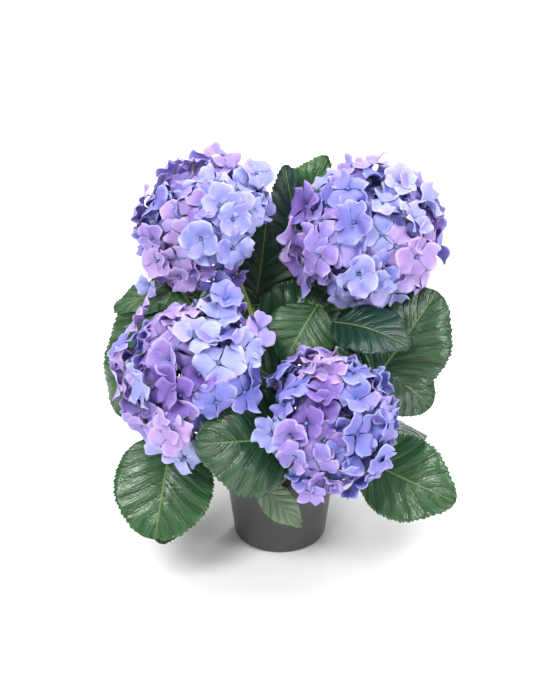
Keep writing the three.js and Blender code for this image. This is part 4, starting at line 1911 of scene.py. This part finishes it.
def shoots() -> list[Shoot]:
    """Lists the leafy shoots, in millimetres and degrees.

    Returns:
        The shoots, from the left round to the back.
    """
    dark, mid, bluish = LeafTone.DARK, LeafTone.MID, LeafTone.BLUISH
    bright, pale = LeafTone.BRIGHT, LeafTone.PALE
    return [
        Shoot("left_low", "lower_left", 0.3, (-72, -40, 135), [
            Leaf((-109, -60, 152), 257, -48, -12, 106, 100, 8, mid, 0.1, 0.4),
            Leaf((-100, -34, 128), 250, -52, -7, 106, 70, 8, dark),
        ]),
        Shoot("left", "upper_left", 0.55, (-84, 34, 236), [
            Leaf((-110, 29, 273), 223, -60, -12, 142, 94, 12, mid, 0.1, 0.38),
            Leaf((-98, 66, 236), 140, -20, 0, 105, 86, 14, dark),
            Leaf((-92, 22, 196), 185, -30, 0, 92, 74, 12, mid),
        ], [
            Leaf((-104, 44, 262), 195, -8, -10, 70, 54, 6, mid, 0.3),
            Leaf((-84, 50, 254), 165, 32, -50, 56, 54, 4, dark, 0.3),
        ]),
        Shoot("front", "lower_right", 0.45, (10, -52, 132), [
            Leaf((19, -70, 157), 216, 16, -64, 128, 112, 6, dark),
            Leaf((-24, -68, 104), 343, -44, 59, 68, 34, 3, pale, 0.3, 0.75),
        ], [Leaf((20, -12, 176), 166, 26, -58, 72, 58, 4, dark, 0.3)]),
        Shoot("right_low", "lower_right", 0.3, (50, -25, 104), [
            Leaf((81, -38, 114), 330, -10, 54, 113, 88, 8, mid, 0.3, 0.46),
            Leaf((72, 22, 112), 35, -22, 0, 112, 88, 12, dark),
        ]),
        Shoot("right", "upper_right", 0.42, (66, 4, 160), [
            Leaf((91, -4, 176), 33, 46, 48, 124, 102, 8, dark, 0.2, 0.42),
            Leaf((96, 40, 168), 50, 0, 0, 105, 84, 14, mid),
        ], [Leaf((107, 2, 194), 340, -32, 35, 62, 66, 5, dark, 0.15, 0.42)]),
        Shoot("middle", "upper_right", 0.6, (50, 26, 226), [
            Leaf((57, 12, 245), 320, 2, 24, 93, 62, 8, bluish),
            Leaf((38, 26, 257), 228, -42, -29, 70, 72, 4, mid, 0.2, 0.6),
        ], [Leaf((58, 10, 232), 250, -72, 0, 88, 68, 4, dark, 0.3)]),
        Shoot("centre_back", "upper_left", 0.7, (-28, 66, 232), [
            Leaf((-25, 80, 239), 73, 65, 6, 108, 100, -3, dark),
            Leaf((2, 88, 213), 84, 6, 0, 98, 94, 12, dark),
        ], [
            Leaf((0, 62, 218), 12, 8, 60, 92, 76, 6, dark, 0.3),
            Leaf((-24, 48, 204), 14, 24, 62, 100, 86, 5, dark, 0.3),
            Leaf((-20, 72, 236), 186, -10, -55, 76, 56, 4, dark, 0.3),
        ]),
        Shoot("top", "upper_right", 0.7, (34, 84, 262), [
            Leaf((21, 82, 276), 125, 75, -15, 108, 54, 4, bluish),
            Leaf((12, 118, 300), 35, 60, 57, 88, 60, 5, bright, 0.4),
        ]),
        Shoot("back_left", "upper_left", 0.35, (-34, 60, 160), [
            Leaf((-62, 88, 190), 125, 0, 0, 112, 90, 14, mid),
            Leaf((-40, 84, 138), 112, -32, 0, 115, 92, 14, dark),
            Leaf((-66, 52, 136), 165, -18, 0, 98, 80, 12, dark),
        ]),
        Shoot("back_right", "upper_right", 0.3, (40, 60, 150), [
            Leaf((76, 88, 214), 38, 12, 10, 100, 84, 12, dark),
            Leaf((40, 84, 132), 72, -32, 0, 115, 92, 14, mid),
        ]),
    ]


# ------------------------------------------------------------------------------------ studio


@dataclass(frozen=True)
class View:
    """The camera: in front of the plant, looking down at it."""

    elevation: float = 28.0
    distance: float = 1.7
    target_height: float = 0.219
    lens: float = 85.3
    sensor: float = 36.0

    @property
    def forward(self) -> Array:
        """The way that the camera looks."""
        angle = math.radians(self.elevation)
        return np.array([0.0, math.cos(angle), -math.sin(angle)])

    @property
    def up(self) -> Array:
        """The way that is up to the camera."""
        angle = math.radians(self.elevation)
        return np.array([0.0, math.sin(angle), math.cos(angle)])

    def build(self) -> None:
        """Places the camera."""
        data = bpy.data.cameras.new("camera")
        data.lens = self.lens
        data.sensor_width = self.sensor
        camera = placed("camera", data)
        place = np.array([0.0, 0.0, self.target_height]) - self.forward * self.distance
        camera.location = Vector(place)
        camera.rotation_euler = (math.radians(90 - self.elevation), 0.0, 0.0)
        bpy.context.scene.camera = camera


@dataclass(frozen=True)
class Softbox:
    """One square area light that looks at the plant."""

    name: str
    place: Place
    size: float
    power: float

    def build(self, target: Vector) -> None:
        """Places the light and turns it to its target."""
        data = bpy.data.lights.new(self.name, "AREA")
        data.shape = "SQUARE"
        data.size = self.size
        data.energy = self.power
        light = placed(self.name, data)
        light.location = self.place
        way = target - Vector(self.place)
        light.rotation_euler = way.to_track_quat("-Z", "Y").to_euler()


@dataclass
class Studio:
    """The pale floor, the soft lights and the even light from all round."""

    view: View
    floor_colour: Colour = (0.90, 0.90, 0.90)
    floor_size: float = 12.0
    floor_roughness: float = 0.8
    patch_scale: float = 3.0
    patch_shade: float = 0.98
    sky: float = 0.5

    def build(self) -> None:
        """Builds the stage round the plant."""
        self.view.build()
        target = Vector((0, 0, self.view.target_height))
        for box in (
            Softbox("key light", (-0.9, -1.5, 2.0), 0.8, 44.0),
            Softbox("side light", (1.5, -0.9, 1.2), 0.8, 18.0),
            Softbox("ceiling light", (0.0, 1.0, 3.2), 3.6, 108.0),
            Softbox("back light", (0.5, 1.9, 1.5), 0.6, 22.0),
        ):
            box.build(target)
        self.build_floor()
        world = bpy.context.scene.world or bpy.data.worlds.new("world")
        bpy.context.scene.world = world
        world.use_nodes = True
        background = next(n for n in world.node_tree.nodes if n.type == "BACKGROUND")
        background.inputs["Color"].default_value = (1.0, 1.0, 1.0, 1.0)
        background.inputs["Strength"].default_value = self.sky
        bpy.context.scene.view_settings.view_transform = "Standard"

    def build_floor(self) -> None:
        """Lays the floor."""
        deselect()
        bpy.ops.mesh.primitive_plane_add(size=self.floor_size)
        floor = bpy.context.object
        floor.name = "floor"
        material, nodes, shader = new_material("floor paint")
        place = nodes.add("ShaderNodeTexCoord").outputs["Object"]
        patches = nodes.noise(place, self.patch_scale)
        darker = tuple(self.patch_shade * channel for channel in self.floor_colour)
        colour = nodes.mix(patches, self.floor_colour, darker)
        nodes.feed(shader.inputs["Base Color"], colour)
        shader.inputs["Roughness"].default_value = self.floor_roughness
        floor.data.materials.append(material)


# -------------------------------------------------------------------------------------- plant


class Hydrangea:
    """The whole plant in its pot."""

    def __init__(self, view: View) -> None:
        """Builds the shared groups and blanks, and lists the blooms and the shoots."""
        self.view = view
        self.veins = Veins()
        self.groups = Groups(self.veins)
        self.blooms = blooms()
        self.shoots = shoots()
        self.limb = Blank.prism(sides=8, steps=12)
        self.stem_blank = Blank.prism(sides=14, steps=72)
        self.petals = [PetalCutter(Blank.sheet(9, 10)), PetalCutter(Blank.sheet(6, 7))]
        self.leaves = LeafCutter(self.veins, Blank.sheet(20, 108))
        self.ball = Blank.ball(2)

    def build_pot(self) -> float:
        """Builds the pot and its filling.

        Returns:
            The height of the filling.
        """
        _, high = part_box("pot")
        Pot(height=float(high[2]), rim_radius=float(high[0])).build(self.groups)
        _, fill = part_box("pot_fill")
        roots = [(bloom.root[0] * MM, bloom.root[1] * MM) for bloom in self.blooms]
        Filling(float(fill[2]), float(fill[0]), roots).build(self.groups)
        return float(fill[2])

    def build_limbs(self, level: float) -> list[Object]:
        """Builds the stems and the leafy shoots.

        Args:
            level: The height of the filling.

        Returns:
            The stems and the blades.
        """
        sleeve = STEM_SLEEVE.material(self.groups)
        petiole = PETIOLE_SLEEVE.material(self.groups)
        greens = {tone: tone.value.material(self.groups) for tone in LeafTone}
        underside = UNDERSIDE.material(self.groups)
        stems = {}
        pieces = []
        for bloom in self.blooms:
            knots = [shoot.share for shoot in self.shoots if shoot.stem == bloom.name]
            stem = Stem(bloom.name, bloom.stem_path(level), knots)
            pieces.append(stem.build(self.stem_blank, sleeve))
            stems[bloom.name] = stem
        for shoot in self.shoots:
            shoot.build_twigs(stems[shoot.stem], self.limb, petiole)
            pieces.append(shoot.build_blades(self.leaves, greens, underside))
        return pieces

    def build_blooms(self, limbs: list[Object]) -> None:
        """Builds the flower heads.

        Args:
            limbs: The pieces that no petal may touch.
        """
        finishes = {hue: hue.value.material(self.groups) for hue in Hue}
        bead = BEAD_PAINT.material(self.groups)
        stalk = STALK_PAINT.material(self.groups)
        graph = bpy.context.evaluated_depsgraph_get()
        taken = [BVHTree.FromObject(limb, graph) for limb in limbs]
        for bloom in self.blooms:
            kept = bloom.build_petals(self.petals, self.view, taken, finishes)
            bloom.build_beads(kept, self.ball, bead)
            bloom.build_stalks(kept, self.limb, stalk)
            log.info("%s: %d florets", bloom.name, len(kept))


def main() -> None:
    """Builds the stage and the plant, and logs the triangle count of each piece and the florets of
    each bloom.
    """
    logging.basicConfig(level=logging.INFO, format="%(message)s")
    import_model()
    view = View()
    Studio(view).build()
    plant = Hydrangea(view)
    level = plant.build_pot()
    plant.build_blooms(plant.build_limbs(level))


if __name__ == "__main__":
    main()
